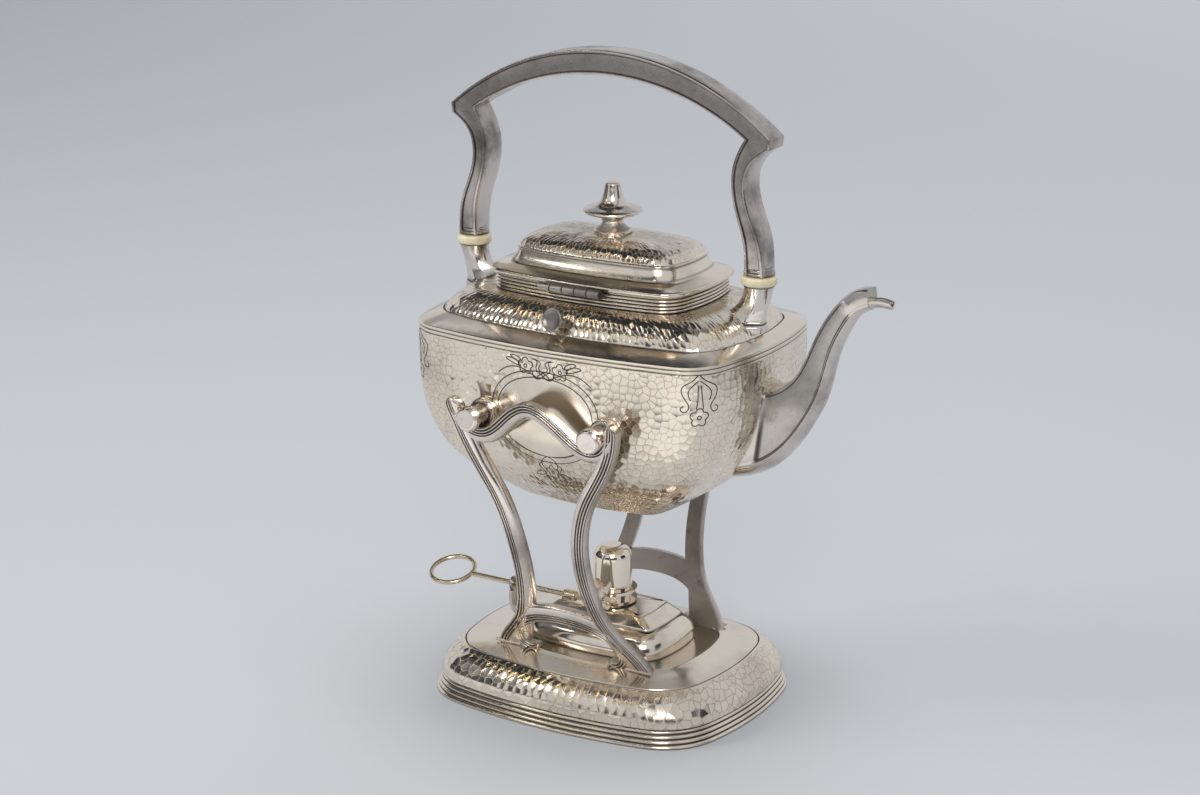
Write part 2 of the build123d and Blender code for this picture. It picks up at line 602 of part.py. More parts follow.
with BuildPart() as lamp_cover:
    cushion_loft(lamp_low, lamp_shape)
    cushion_loft(lamp_high, step_shape, ruled=True)
    cushion_loft(inset(lamp_low, sheet, sheet), lamp_shape, Mode.SUBTRACT)
    cushion_loft(inset(lamp_high, sheet, sheet), step_shape, Mode.SUBTRACT, ruled=True)
    with BuildSketch(Plane.XY.offset(lamp_top_z - 2 * sheet)):
        Circle(wick_tube_radius + running)
    extrude(amount=4 * sheet, mode=Mode.SUBTRACT)
write(lamp_cover.part, "lamp_cover")

# Burner collar with two flanges and the two ears that carry the snuffer's rod
hinge_point = (-rod_y, rod_z)
with BuildPart() as burner_collar:
    with BuildSketch(Plane.XY.offset(lamp_top_z)):
        Circle(collar_radius)
    extrude(amount=collar_top_z - lamp_top_z)
    for level in (collar_lower_flange_z, collar_upper_flange_z):
        with BuildSketch(Plane.XY.offset(level)):
            Circle(collar_flange_radius)
        extrude(amount=collar_flange)
    for ear_x in (-lug_half_width - seam - ear_thickness, lug_half_width + seam):
        with BuildSketch(Plane(origin=(ear_x, 0, 0), x_dir=(0, 1, 0), z_dir=(1, 0, 0))):
            with Locations(hinge_point):
                Circle(ear_radius)
            with Locations((-rod_y / 2 - 2.0, rod_z)):
                Rectangle(rod_y - 4.0, 2 * ear_radius - 1.0)
        extrude(amount=ear_thickness)
    with BuildSketch(Plane(origin=(-20, 0, 0), x_dir=(0, 1, 0), z_dir=(1, 0, 0))):
        with Locations(hinge_point):
            Circle(rod_radius + running)
    extrude(amount=40, mode=Mode.SUBTRACT)
    with BuildSketch(Plane(origin=(-lug_half_width - seam, 0, 0), x_dir=(0, 1, 0), z_dir=(1, 0, 0))):
        with Locations(hinge_point):
            Circle(lug_radius + 2 * seam)
    extrude(amount=2 * (lug_half_width + seam), mode=Mode.SUBTRACT)
    with BuildSketch(Plane.XY.offset(collar_lower_flange_z + collar_flange)):
        with Locations((0, -collar_radius - rod_y / 2)):
            Rectangle(2 * (lug_half_width + seam), rod_y - 2 * seam)
    extrude(amount=collar_top_z, mode=Mode.SUBTRACT)
    with BuildSketch(Plane.XY.offset(lamp_top_z - 1)):
        Circle(wick_tube_radius + running)
    extrude(amount=collar_top_z, mode=Mode.SUBTRACT)
write(burner_collar.part, "burner_collar")

with BuildPart() as wick_tube:
    with BuildSketch(Plane.XY.offset(lamp_step_z - 6)):
        Circle(wick_tube_radius)
        Circle(wick_tube_bore, mode=Mode.SUBTRACT)
    extrude(amount=wick_tube_top_z - lamp_step_z + 6)
write(wick_tube.part, "wick_tube")

with BuildPart() as wick:
    with BuildSketch(Plane.XY.offset(wick_foot_z)):
        Circle(wick_tube_bore - running)
    extrude(amount=wick_tube_top_z + wick_stand - wick_foot_z)
write(wick.part, "wick")

# Snuffer cap, its lug on the rod, and the rod with its finger ring
cap_foot_z = collar_top_z + seam
with BuildPart() as snuffer_cap:
    with BuildSketch(Plane.XY.offset(cap_foot_z)):
        Circle(cap_radius)
    extrude(amount=cap_top_z - cap_foot_z)
    fillet(snuffer_cap.faces().sort_by(Axis.Z)[-1].edges(), cap_dome_radius)
    with BuildSketch(Plane.XY.offset(cap_foot_z)):
        Circle(cap_radius - cap_wall)
    extrude(amount=cap_top_z - cap_foot_z - cap_wall - 3.5, mode=Mode.SUBTRACT)
write(snuffer_cap.part, "snuffer_cap")

with BuildPart() as snuffer_lug:
    with BuildSketch(Plane(origin=(-lug_half_width, 0, 0), x_dir=(0, 1, 0), z_dir=(1, 0, 0))):
        with Locations(hinge_point):
            Circle(lug_radius)
        with BuildLine():
            Polyline((-rod_y - lug_radius, rod_z), (-rod_y - 1.0, rod_z + 7.6), (-cap_radius + 1.5, cap_foot_z + 5),
                     (-cap_radius + 1.5, cap_foot_z + 0.6), (-rod_y + lug_radius, rod_z + 1.0),
                     (-rod_y + 1, rod_z), close=True)
        make_face()
    extrude(amount=2 * lug_half_width)
    with BuildSketch(Plane.XY.offset(cap_foot_z - 1)):
        Circle(cap_radius)
    extrude(amount=20, mode=Mode.SUBTRACT)
    with BuildSketch(Plane(origin=(-20, 0, 0), x_dir=(0, 1, 0), z_dir=(1, 0, 0))):
        with Locations(hinge_point):
            Circle(rod_radius)
    extrude(amount=40, mode=Mode.SUBTRACT)
write(snuffer_lug.part, "snuffer_lug")

ring_centre_x = rod_end_x - ring_radius
with BuildPart() as snuffer_rod:
    with BuildSketch(Plane(origin=(rod_end_x, 0, 0), x_dir=(0, 1, 0), z_dir=(1, 0, 0))):
        with Locations(hinge_point):
            Circle(rod_radius)
    extrude(amount=rod_lug_x - rod_end_x)
    with BuildSketch(Plane(origin=(ferrule_x, 0, 0), x_dir=(0, 1, 0), z_dir=(1, 0, 0))):
        with Locations(hinge_point):
            Circle(ferrule_radius)
    extrude(amount=ferrule_length)
    ring_plane = Plane(origin=(ring_centre_x, -rod_y, rod_z), x_dir=(1, 0, 0), z_dir=(0, -0.3, 1))
    with BuildSketch(Plane(origin=ring_plane.origin + ring_plane.x_dir * ring_radius,
                           x_dir=ring_plane.x_dir, z_dir=ring_plane.y_dir)):
        Circle(ring_wire)
    revolve(axis=Axis(ring_plane.origin, ring_plane.z_dir))
write(snuffer_rod.part, "snuffer_rod")

# Guide that steadies the rod: a strip that rises from the end of the lamp to an eye round the rod
with BuildPart() as rod_guide:
    with BuildSketch(Plane(origin=(guide_x - guide_thickness / 2, 0, 0), x_dir=(0, 1, 0), z_dir=(1, 0, 0))):
        with Locations(hinge_point):
            Circle(guide_eye_radius)
            Circle(rod_radius + running, mode=Mode.SUBTRACT)
    extrude(amount=guide_thickness)
    with BuildSketch(Plane.XZ.offset(rod_y - guide_width / 2)):
        with BuildLine(mode=Mode.PRIVATE) as guide_line:
            Spline((guide_x, rod_z - guide_eye_radius + 0.4), (guide_x + 2.6, lamp_swell_z + 2.0),
                   (-lamp_swell_half_x + 2.6, lamp_swell_z + 1.0))
        trace(guide_line.line, guide_thickness)
    extrude(amount=guide_width)
    add(lamp_cover.part, mode=Mode.SUBTRACT)
write(rod_guide.part, "rod_guide")
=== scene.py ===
import functools
import logging
import math
import operator
from dataclasses import dataclass, field
from enum import Enum
from typing import Callable, Iterable, Sequence

import bpy
import numpy as np
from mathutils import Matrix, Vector


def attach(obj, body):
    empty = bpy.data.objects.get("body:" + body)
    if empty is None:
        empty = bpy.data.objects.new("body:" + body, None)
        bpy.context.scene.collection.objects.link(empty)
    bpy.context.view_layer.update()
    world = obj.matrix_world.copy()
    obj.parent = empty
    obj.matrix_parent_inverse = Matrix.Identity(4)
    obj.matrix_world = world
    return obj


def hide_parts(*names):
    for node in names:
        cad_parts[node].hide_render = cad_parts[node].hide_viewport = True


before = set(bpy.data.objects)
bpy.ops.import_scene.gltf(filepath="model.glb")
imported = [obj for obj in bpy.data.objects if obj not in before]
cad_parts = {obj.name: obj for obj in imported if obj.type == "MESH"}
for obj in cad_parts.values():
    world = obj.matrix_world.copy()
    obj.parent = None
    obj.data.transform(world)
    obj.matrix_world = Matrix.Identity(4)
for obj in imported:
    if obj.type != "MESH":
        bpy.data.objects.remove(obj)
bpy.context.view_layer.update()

MM = 0.001
TAU = 2 * math.pi
SHARP_ANGLE = math.radians(38)
BEAD_SPAN = 0.97  # share of a half circle that a bead's section keeps
AXIS = 0.01  # radius, in millimetres, at which a turned form is closed
LOG = logging.getLogger("kettle")
Array = np.ndarray


# Curves and surfaces

def hermite(p: Array, chord: Array, slope: Array, count: int) -> Array:
    """Evenly spaced points on the cubic pieces between points with known chord lengths and slopes."""
    knot_t = np.concatenate([[0], np.cumsum(chord)])
    t = np.linspace(0, knot_t[-1], count)
    k = np.clip(np.searchsorted(knot_t, t, side="right") - 1, 0, len(chord) - 1)
    step = chord[k][:, None]
    s = (t - knot_t[k])[:, None] / step
    return ((2 * s ** 3 - 3 * s ** 2 + 1) * p[k] + (s ** 3 - 2 * s ** 2 + s) * step * slope[k]
            + (3 * s ** 2 - 2 * s ** 3) * p[k + 1] + (s ** 3 - s ** 2) * step * slope[k + 1])


def spline(knots: Sequence, count: int, start: tuple | None = None, end: tuple | None = None) -> Array:
    """Cubic curve through the knots, with its parameter spaced by chord length.

    The slopes at the knots solve the usual three-term equations, which make the bending continuous.

    Args:
        knots: Points that the curve passes through.
        count: Number of points returned.
        start: Direction at the first knot, or None for a free end.
        end: Direction at the last knot, or None for a free end.

    Returns:
        Points along the curve, one per row.
    """
    p = np.asarray(knots, float)
    h = np.linalg.norm(np.diff(p, axis=0), axis=1)
    n = len(p)
    rows, right = np.zeros((n, n)), np.zeros_like(p)
    for i in range(1, n - 1):
        rows[i, i - 1:i + 2] = h[i], 2 * (h[i - 1] + h[i]), h[i - 1]
        right[i] = 3 * (h[i] * (p[i] - p[i - 1]) / h[i - 1] + h[i - 1] * (p[i + 1] - p[i]) / h[i])
    for row, near, direction, k in ((0, 1, start, 0), (n - 1, n - 2, end, n - 2)):
        if direction is None:
            rows[row, row], rows[row, near] = 2, 1
            right[row] = 3 * (p[k + 1] - p[k]) / h[k]
        else:
            rows[row, row] = 1
            right[row] = np.asarray(direction, float) / np.linalg.norm(direction)
    return hermite(p, h, np.linalg.solve(rows, right), count)


def monotone(knots: Sequence, count: int) -> Array:
    """Cubic curve through the knots that never swings past them: each slope is the harmonic mean of its chords."""
    p = np.asarray(knots, float)
    h = np.linalg.norm(np.diff(p, axis=0), axis=1)
    chord = np.diff(p, axis=0) / h[:, None]
    same = chord[1:] * chord[:-1] > 0
    inner = np.where(same, 2 * chord[1:] * chord[:-1] / np.where(same, chord[1:] + chord[:-1], 1), 0)
    return hermite(p, h, np.vstack([chord[:1], inner, chord[-1:]]), count)


def rounded(points: Sequence, radius: float, steps: int = 4) -> Array:
    """Polyline whose corners are replaced by short parabolas that start a radius away from each corner."""
    p = np.asarray(points, float)
    out = [p[:1]]
    t = np.linspace(0, 1, steps + 1)[:, None]
    for before, at, after in zip(p[:-2], p[1:-1], p[2:]):
        back, ahead = before - at, after - at
        a = at + back * min(0.5, radius / max(np.linalg.norm(back), 1e-9))
        b = at + ahead * min(0.5, radius / max(np.linalg.norm(ahead), 1e-9))
        out.append((1 - t) ** 2 * a + 2 * t * (1 - t) * at + t ** 2 * b)
    out.append(p[-1:])
    return np.vstack(out)


def smoothstep(x: Array, low: float, high: float) -> Array:
    """Goes from 0 at low to 1 at high with level ends."""
    t = np.clip((x - low) / (high - low), 0, 1)
    return t * t * (3 - 2 * t)


def cushion(half_x: Array, half_y: Array, bow: Array, corner: Array, side: int = 20, turn: int = 12) -> Array:
    """Closed cushion outlines: four bowed sides joined by corner arcs that touch both sides.

    A side's arc has the radius (c * c + b * b) / 2b for its half chord c and bow b. The corner's centre is where the
    two side arcs, drawn in by the corner radius, cross. The outline starts at +X and runs towards +Y.

    Args:
        half_x: Half length of each outline.
        half_y: Half width of each outline.
        bow: How far each side bulges.
        corner: Corner radius.
        side: Points along half a side.
        turn: Points along a corner.

    Returns:
        Array of outlines by points by (x, y).
    """
    hx, hy, b, r = (np.broadcast_to(np.asarray(v, float), np.shape(half_x)).reshape(-1, 1)
                    for v in (half_x, half_y, bow, corner))
    long_r = ((hx - b) ** 2 + b ** 2) / (2 * b)
    short_r = ((hy - b) ** 2 + b ** 2) / (2 * b)
    long_c, short_c = hy - long_r, hx - short_r
    gap = np.hypot(short_c, long_c)
    along = ((long_r - r) ** 2 - (short_r - r) ** 2 + gap ** 2) / (2 * gap)
    off = np.sqrt(np.maximum((long_r - r) ** 2 - along ** 2, 0))
    ux, uy = short_c / gap, -long_c / gap
    fx, fy = along * ux + off * uy, long_c + along * uy - off * ux
    other_x, other_y = along * ux - off * uy, long_c + along * uy + off * ux
    swap = other_x + other_y > fx + fy
    fx, fy = np.where(swap, other_x, fx), np.where(swap, other_y, fy)
    first = np.arctan2(fy, fx - short_c)
    last = np.arctan2(fy - long_c, fx)
    s, c = np.linspace(0, 1, side + 1)[None, :], np.linspace(0, 1, turn + 1)[None, 1:]
    a, m, z = s * first, first + (last - first) * c, last + (math.pi / 2 - last) * s[:, 1:]
    qx = np.hstack([short_c + short_r * np.cos(a), fx + r * np.cos(m), long_r * np.cos(z)])
    qy = np.hstack([short_r * np.sin(a), fy + r * np.sin(m), long_c + long_r * np.sin(z)])
    x = np.hstack([qx[:, :-1], -qx[:, ::-1][:, :-1], -qx[:, :-1], qx[:, ::-1][:, :-1]])
    y = np.hstack([qy[:, :-1], qy[:, ::-1][:, :-1], -qy[:, :-1], -qy[:, ::-1][:, :-1]])
    return np.stack([x, y], axis=-1)


def cushions(rows: Array, bow: float | Array, corner: float | Array, full: float | None = None, side: int = 20,
             turn: int = 12) -> Array:
    """Cushion outlines at (half x, half y, height) rows; full is the half length at which bow and corner hold."""
    scale = rows[:, 0] / full if full else 1.0
    flat = cushion(rows[:, 0], rows[:, 1], bow * scale, corner * scale, side, turn)
    return np.concatenate([flat, np.repeat(rows[:, None, 2:3], flat.shape[1], 1)], axis=-1)


@dataclass
class Patch:
    """Loose surface: points in millimetres, faces of three or four corners, and what each point carries."""

    points: Array
    faces: list
    uvs: list
    marks: dict

    def __add__(self, other: "Patch") -> "Patch":
        """Both patches as one, with the second one's faces renumbered."""
        base = len(self.points)
        marks = {key: np.concatenate([self.marks.get(key, np.zeros(base)),
                                      other.marks.get(key, np.zeros(len(other.points)))])
                 for key in {*self.marks, *other.marks}}
        return Patch(np.vstack([self.points, other.points]), self.faces + [f + base for f in other.faces],
                     self.uvs + other.uvs, marks)

    def moved(self, change: Callable[[Array], Array]) -> "Patch":
        """The patch after a change of its points."""
        return Patch(change(self.points), self.faces, self.uvs, self.marks)

    def flipped(self) -> "Patch":
        """The patch with its faces turned over, as a mirror image needs."""
        return Patch(self.points, [f[:, ::-1] for f in self.faces], [u[:, ::-1] for u in self.uvs], self.marks)


def joined(patches: Iterable[Patch]) -> Patch:
    """All the patches as one."""
    return functools.reduce(operator.add, patches)


def arc_lengths(points: Array) -> Array:
    """Distance walked to each point of a line, from 0."""
    return np.concatenate([[0], np.cumsum(np.linalg.norm(np.diff(points, axis=0), axis=1))])


def grid(points: Array, along: bool = False, ends: tuple[bool, bool] = (False, False), **marks: Array) -> Patch:
    """Surface over rows and columns of points; its outside is where columns cross rows by the right hand.

    The UV map holds real lengths in metres: across by the longest row, along by the middle column.

    Args:
        points: Array of rows by columns by (x, y, z); the last column joins the first.
        along: The last row joins the first.
        ends: Whether the first and the last row get a fan of triangles to their middle.
        marks: Values by row, or by row and column, that the material reads by name.

    Returns:
        The surface as a patch.
    """
    rows, cols = points.shape[:2]
    i, j = np.meshgrid(np.arange(rows if along else rows - 1), np.arange(cols), indexing="ij")
    i, j = i.ravel(), j.ravel()
    i2, j2 = (i + 1) % rows, (j + 1) % cols
    quads = np.stack([i * cols + j, i * cols + j2, i2 * cols + j2, i2 * cols + j], axis=1)
    wide = np.argmax(np.linalg.norm(np.diff(points, axis=1), axis=2).sum(axis=1))
    u = arc_lengths(np.vstack([points[wide], points[wide, :1]])) * MM
    middle = points[:, cols // 4]
    v = arc_lengths(np.vstack([middle, middle[:1]])) * MM
    uv = np.stack([np.stack([u[j], v[i]], 1), np.stack([u[j + 1], v[i]], 1),
                   np.stack([u[j + 1], v[i + 1]], 1), np.stack([u[j], v[i + 1]], 1)], axis=1)
    flat = points.reshape(-1, 3)
    held = {key: np.broadcast_to(np.asarray(value, float).reshape(rows, -1), (rows, cols)).ravel()
            for key, value in marks.items()}
    faces, uvs = [quads], [uv]
    for wanted, row, order in ((ends[0], 0, -1), (ends[1], rows - 1, 1)):
        if wanted:
            centre = len(flat)
            flat = np.vstack([flat, points[row].mean(axis=0)])
            held = {key: np.append(value, value[row * cols]) for key, value in held.items()}
            a = np.arange(cols)
            ring = np.stack([row * cols + a, row * cols + (a + 1) % cols, np.full_like(a, centre)], axis=1)
            faces.append(ring[:, ::order])
            uvs.append(np.repeat(np.stack([u[a], np.full(len(a), v[row])], 1)[:, None], 3, axis=1))
    return Patch(flat, faces, uvs, held)


def lathe(profile: Sequence, steps: int = 56, closed: bool = False, dirt: Sequence | Callable | float = 0.0) -> Patch:
    """Turned form about Z.

    Args:
        profile: Points of (radius, height), from the foot outwards and up.
        steps: Points around.
        closed: Whether the profile joins its own start.
        dirt: Dirt and painted shade by point of the profile, or a function of radius and height.

    Returns:
        The surface.
    """
    p = np.asarray(profile, float)
    a = np.linspace(0, TAU, steps, endpoint=False)
    points = np.stack([p[:, :1] * np.cos(a), p[:, :1] * np.sin(a), np.repeat(p[:, 1:2], steps, 1)], axis=-1)
    dirt = dirt(*p.T) if callable(dirt) else np.broadcast_to(dirt, len(p))
    return grid(points, along=closed, ends=(not closed, not closed), dirt=dirt)


def stripes(count: int, *spans: tuple) -> Array:
    """Values by row: 0, except in the spans of (start, end, value)."""
    out = np.zeros(count)
    for start, end, value in spans:
        out[start:end] = value
    return out


def two_sided(half: Array, sign: int = 1) -> Array:
    """Columns of a section's near side, followed by its far side back to the start."""
    return np.concatenate([half, sign * half[:, -2:0:-1]], axis=1)


def upright(outer: Array, inner: Array, near: Array, thick: Array, dirt: Array) -> Patch:
    """Closed form between two edges in the XZ plane.

    Args:
        outer: Points of the first edge.
        inner: Points of the second edge.
        near: For each point, the distances of the section's columns from the first edge.
        thick: Half thickness at each column.
        dirt: Dirt and painted shade at each column.

    Returns:
        The surface, the same on both sides of the plane.
    """
    d, y = two_sided(near), two_sided(thick, -1)
    width = np.linalg.norm(inner - outer, axis=1)[:, None]
    flat = outer[:, None] + (inner - outer)[:, None] * (d / width)[..., None]
    return grid(np.stack([flat[..., 0], -y, flat[..., 1]], axis=-1), ends=(True, True), dirt=two_sided(dirt))


def sweep(path: Array, up: Sequence, section: Sequence, closed: bool = False, **marks: Array) -> Patch:
    """Section carried along a path: side is up crossed with the path's direction, and both scale the section.

    Args:
        path: Points of the path.
        up: Up direction, one for all or one for each point.
        section: Closed outline of (side, up) offsets.
        closed: Whether the path joins its own start.
        marks: Values that the material reads.

    Returns:
        The closed surface.
    """
    path = np.asarray(path, float)
    ahead = np.roll(path, -1, 0) - np.roll(path, 1, 0) if closed else np.gradient(path, axis=0)
    ahead /= np.linalg.norm(ahead, axis=1, keepdims=True)
    up = np.broadcast_to(np.asarray(up, float), path.shape)
    side = np.cross(up, ahead)
    side /= np.linalg.norm(side, axis=1, keepdims=True)
    up = np.cross(ahead, side)
    section = np.asarray(section, float)
    points = path[:, None] + side[:, None] * section[:, :1] + up[:, None] * section[:, 1:]
    return grid(points, along=closed, ends=(not closed, not closed), **marks)


def ring_section(radius: float, count: int) -> Array:
    """Circle of a radius as a section."""
    a = np.linspace(0, TAU, count, endpoint=False)
    return np.stack([radius * np.cos(a), radius * np.sin(a)], axis=1)


def beads(count: int, pitch: float, depth: float, gap: float, steps: int = 7) -> Array:
    """Half-round beads side by side: (distance, drop) points, with the drop 0 on each crest and a flat gap between."""
    s = np.linspace(-BEAD_SPAN, BEAD_SPAN, steps)
    one = np.stack([gap / 2 + (s + 1) / 2 * (pitch - gap), depth * (1 - np.sqrt(1 - s ** 2))], axis=1)
    return np.vstack([one + (k * pitch, 0) for k in range(count)])


def along_y(patch: Patch, x: float, z: float, side: int) -> Patch:
    """A turned form laid along Y at (x, z), with its top away from the middle of the object."""
    return patch.moved(lambda p: np.stack([x + p[:, 0], side * p[:, 2], z - side * p[:, 1]], axis=1))


def along_x(patch: Patch, y: float, z: float) -> Patch:
    """A turned form laid along X at (y, z)."""
    return patch.moved(lambda p: np.stack([p[:, 2], y + p[:, 1], z - p[:, 0]], axis=1))


def raised(patch: Patch, x: float, y: float) -> Patch:
    """A turned form stood at (x, y)."""
    return patch.moved(lambda p: p + (x, y, 0))


# Materials

class Socket:
    """An output of a node, with arithmetic that adds Math nodes."""

    def __init__(self, graph: "Graph", link: bpy.types.NodeSocket) -> None:
        self.graph, self.link = graph, link

    def _math(self, operation: str, first: "Socket | float", second: "Socket | float") -> "Socket":
        return self.graph.add("ShaderNodeMath", {"operation": operation}, {0: first, 1: second})

    def __add__(self, other: "Socket | float") -> "Socket":
        return self._math("ADD", self, other)

    __radd__ = __add__

    def __sub__(self, other: "Socket | float") -> "Socket":
        return self._math("SUBTRACT", self, other)

    def __rsub__(self, other: "Socket | float") -> "Socket":
        return self._math("SUBTRACT", other, self)

    def __mul__(self, other: "Socket | float") -> "Socket":
        return self._math("MULTIPLY", self, other)

    __rmul__ = __mul__

    def __pow__(self, other: float) -> "Socket":
        return self._math("POWER", self, other)

    def largest(self, other: "Socket") -> "Socket":
        """The larger of two values."""
        return self._math("MAXIMUM", self, other)

    def ramp(self, low: float, high: float) -> "Socket":
        """0 below low, 1 above high, smooth between; a low above high turns it round."""
        if low > high:
            return 1 - self.ramp(high, low)
        return self.graph.add("ShaderNodeMapRange", {"interpolation_type": "SMOOTHSTEP"},
                              {"Value": self, "From Min": low, "From Max": high})


class Graph:
    """Node tree of one material or world, filled through one method."""

    def __init__(self, owner: bpy.types.Material | bpy.types.World) -> None:
        owner.use_nodes = True
        self.owner, self.tree = owner, owner.node_tree
        self.tree.nodes.clear()

    def add(self, kind: str, settings: dict | None = None, values: dict | None = None,
            out: str | int = 0) -> Socket:
        """Adds a node.

        Args:
            kind: The node's type.
            settings: Its own settings, set first.
            values: Numbers, colours or links by socket name or place.
            out: The output returned.

        Returns:
            That output, wrapped.
        """
        node = self.tree.nodes.new(kind)
        for key, value in (settings or {}).items():
            setattr(node, key, value)
        for key, value in (values or {}).items():
            if isinstance(value, Socket):
                self.tree.links.new(value.link, node.inputs[key])
            else:
                node.inputs[key].default_value = value
        return Socket(self, node.outputs[out] if node.outputs else None)

    def mark(self, name: str) -> Socket:
        """A value that the mesh carries."""
        return self.add("ShaderNodeAttribute", {"attribute_name": name}, out="Fac")

    def noise(self, where: Socket, scale: float, detail: float, rough: float) -> Socket:
        """Cloudy noise between 0 and 1."""
        return self.add("ShaderNodeTexNoise", {}, {"Vector": where, "Scale": scale, "Detail": detail,
                                                   "Roughness": rough}, out="Fac")

    def vector(self, operation: str, *values: Socket | tuple, out: str | int = 0) -> Socket:
        """Arithmetic on vectors."""
        return self.add("ShaderNodeVectorMath", {"operation": operation}, dict(enumerate(values)), out)

    def bump(self, height: Socket) -> Socket:
        """Normal that shows a height in metres."""
        return self.add("ShaderNodeBump", {}, {"Height": height, "Distance": 1.0, "Strength": 1.0})

    def mix(self, amount: Socket | float, first: Socket | tuple, second: Socket | tuple) -> Socket:
        """Colour between two colours."""
        first, second = (c if isinstance(c, Socket) else (*c, 1.0) for c in (first, second))
        return self.add("ShaderNodeMix", {"data_type": "RGBA"}, {0: amount, 6: first, 7: second}, out=2)

    def finish(self, **values: Socket | float | tuple) -> bpy.types.Material:
        """Ends the tree in a Principled shader; words in the names are joined by underscores."""
        shader = self.add("ShaderNodeBsdfPrincipled", {}, {k.replace("_", " "): v for k, v in values.items()})
        self.add("ShaderNodeOutputMaterial", {}, {"Surface": shader})
        return self.owner


class Work(Enum):
    """How a silvered surface was worked."""

    HAMMERED = "hammered"
    POLISHED = "polished"
    CAST = "cast"


@dataclass(frozen=True)
class Silver:
    """Silver plate with tarnish: brown in the recesses, cloudy on the faces, with the marks of its making; the same
    dark brown also paints shade on the castings' back faces.
    """

    name: str
    work: Work
    plate: tuple = (0.93, 0.83, 0.70)
    dull: tuple = (0.36, 0.31, 0.27)
    # Dark brown of tarnish, also used as painted shade.
    stain_and_shade: tuple = (0.060, 0.047, 0.038)
    roughness: float = 0.14
    cloud: float = 0.35
    cell: float = 3.1
    facet_slope: float = 0.16
    dimple_depth: float = 0.075
    spread: float = 0.86
    mean_height: float = 0.05

    def _hammer_height(self, graph: Graph) -> tuple[Socket, Socket]:
        """Height of the hammer marks in metres, and a mask of the lines between them.

        Each blow leaves a shallow bowl, as deep as the square of the distance from its centre, tilted a little by
        chance. The bowls meet at the edges of a two-dimensional cell pattern that lies on the UV map.
        """
        where = graph.add("ShaderNodeTexCoord", out="UV")
        bend = graph.add("ShaderNodeTexNoise", {"noise_dimensions": "2D"},
                         {"Vector": where, "Scale": 90.0, "Detail": 1.0}, out="Color")
        shift = graph.vector("MULTIPLY_ADD", bend, (0.0012, 0.0012, 0), where)
        lay = {"Vector": shift, "Scale": 1 / (self.cell * MM), "Randomness": self.spread}
        cells = graph.add("ShaderNodeTexVoronoi", {"voronoi_dimensions": "2D"}, lay, out="Distance")
        edge = graph.add("ShaderNodeTexVoronoi", {"voronoi_dimensions": "2D", "feature": "DISTANCE_TO_EDGE"}, lay,
                         out="Distance")
        chance, middle = (Socket(graph, cells.link.node.outputs[name]) for name in ("Color", "Position"))
        tilt = graph.vector("DOT_PRODUCT", graph.vector("SUBTRACT", chance, (0.5, 0.5, 0.5)),
                            graph.vector("SUBTRACT", shift, middle), out="Value")
        bowl = cells ** 2 * (4 * self.dimple_depth * MM)
        return bowl + tilt * self.facet_slope - self.mean_height * MM, edge

    def build(self) -> bpy.types.Material:
        """Makes the material."""
        graph = Graph(bpy.data.materials.new(self.name))
        where = graph.add("ShaderNodeTexCoord", out="Object")
        dirt = graph.mark("dirt")
        cloud = graph.noise(where, 22.0, 5.0, 0.62)
        fine = graph.noise(where, 260.0, 4.0, 0.6)
        patches = graph.noise(where, 70.0, 6.0, 0.68)
        dull = cloud.ramp(0.42, 0.72) * self.cloud
        colour = graph.mix(dull, self.plate, self.dull)
        # Tarnish in the hollows, plus painted shade on faces that turn into the shade, such as the frames' back faces.
        grime_and_shade = (dirt * 0.86 + patches.ramp(0.55, 0.8) * 0.25 * dirt.ramp(0.0, 0.35)).ramp(0.05, 0.95)
        height = fine * 0.000012 + patches * 0.00003
        rough = fine.ramp(0.3, 0.8) * 0.07 + dull * 0.30 + grime_and_shade * 0.30 + self.roughness
        if self.work is Work.HAMMERED:
            keep = graph.mark("hammer")
            marks, edge = self._hammer_height(graph)
            height = marks * keep + height * 0.4
            lines = edge.ramp(0.10, 0.015) * keep * cloud.ramp(0.32, 0.6)
            colour = graph.mix(lines * 0.45, colour, (0.42, 0.33, 0.22))
            rough = rough + lines * 0.25
        if self.work is Work.CAST:
            pits = graph.noise(where, 900.0, 2.0, 0.5).ramp(0.66, 0.78)
            specks = pits * patches.ramp(0.45, 0.62)
            height = height - pits * 0.00005 + patches * 0.00006
            colour = graph.mix(specks * 0.8, colour, self.stain_and_shade)
            rough = rough + specks * 0.2
        colour = graph.mix(grime_and_shade, colour, self.stain_and_shade)
        return graph.finish(Base_Color=colour, Metallic=1.0, Roughness=rough, Normal=graph.bump(height))


@dataclass(frozen=True)
class Bone:
    """Old cream bone: waxy, darker where it meets the metal, with faint grain."""

    name: str = "cream_bone"

    def build(self) -> bpy.types.Material:
        """Makes the material."""
        graph = Graph(bpy.data.materials.new(self.name))
        where = graph.add("ShaderNodeTexCoord", out="Object")
        grain = graph.noise(where, 340.0, 5.0, 0.6)
        colour = graph.mix(grain.ramp(0.35, 0.75), (0.74, 0.68, 0.50), (0.62, 0.50, 0.27))
        colour = graph.mix(graph.mark("dirt"), colour, (0.26, 0.17, 0.08))
        return graph.finish(Base_Color=colour, Roughness=grain * 0.15 + 0.28, Normal=graph.bump(grain * 0.00002),
                            Subsurface_Weight=0.12, Subsurface_Radius=(0.004, 0.003, 0.0015), Coat_Weight=0.2)


@dataclass(frozen=True)
class Cotton:
    """Wick cotton with its braid."""

    name: str = "wick_cotton"

    def build(self) -> bpy.types.Material:
        """Makes the material."""
        graph = Graph(bpy.data.materials.new(self.name))
        where = graph.add("ShaderNodeTexCoord", out="Object")
        braid = graph.add("ShaderNodeTexWave", {"bands_direction": "DIAGONAL"},
                          {"Vector": where, "Scale": 700.0, "Distortion": 2.0}, out="Fac")
        colour = graph.mix(braid, (0.46, 0.38, 0.26), (0.78, 0.71, 0.56))
        return graph.finish(Base_Color=colour, Roughness=0.95, Normal=graph.bump(braid * 0.0002))


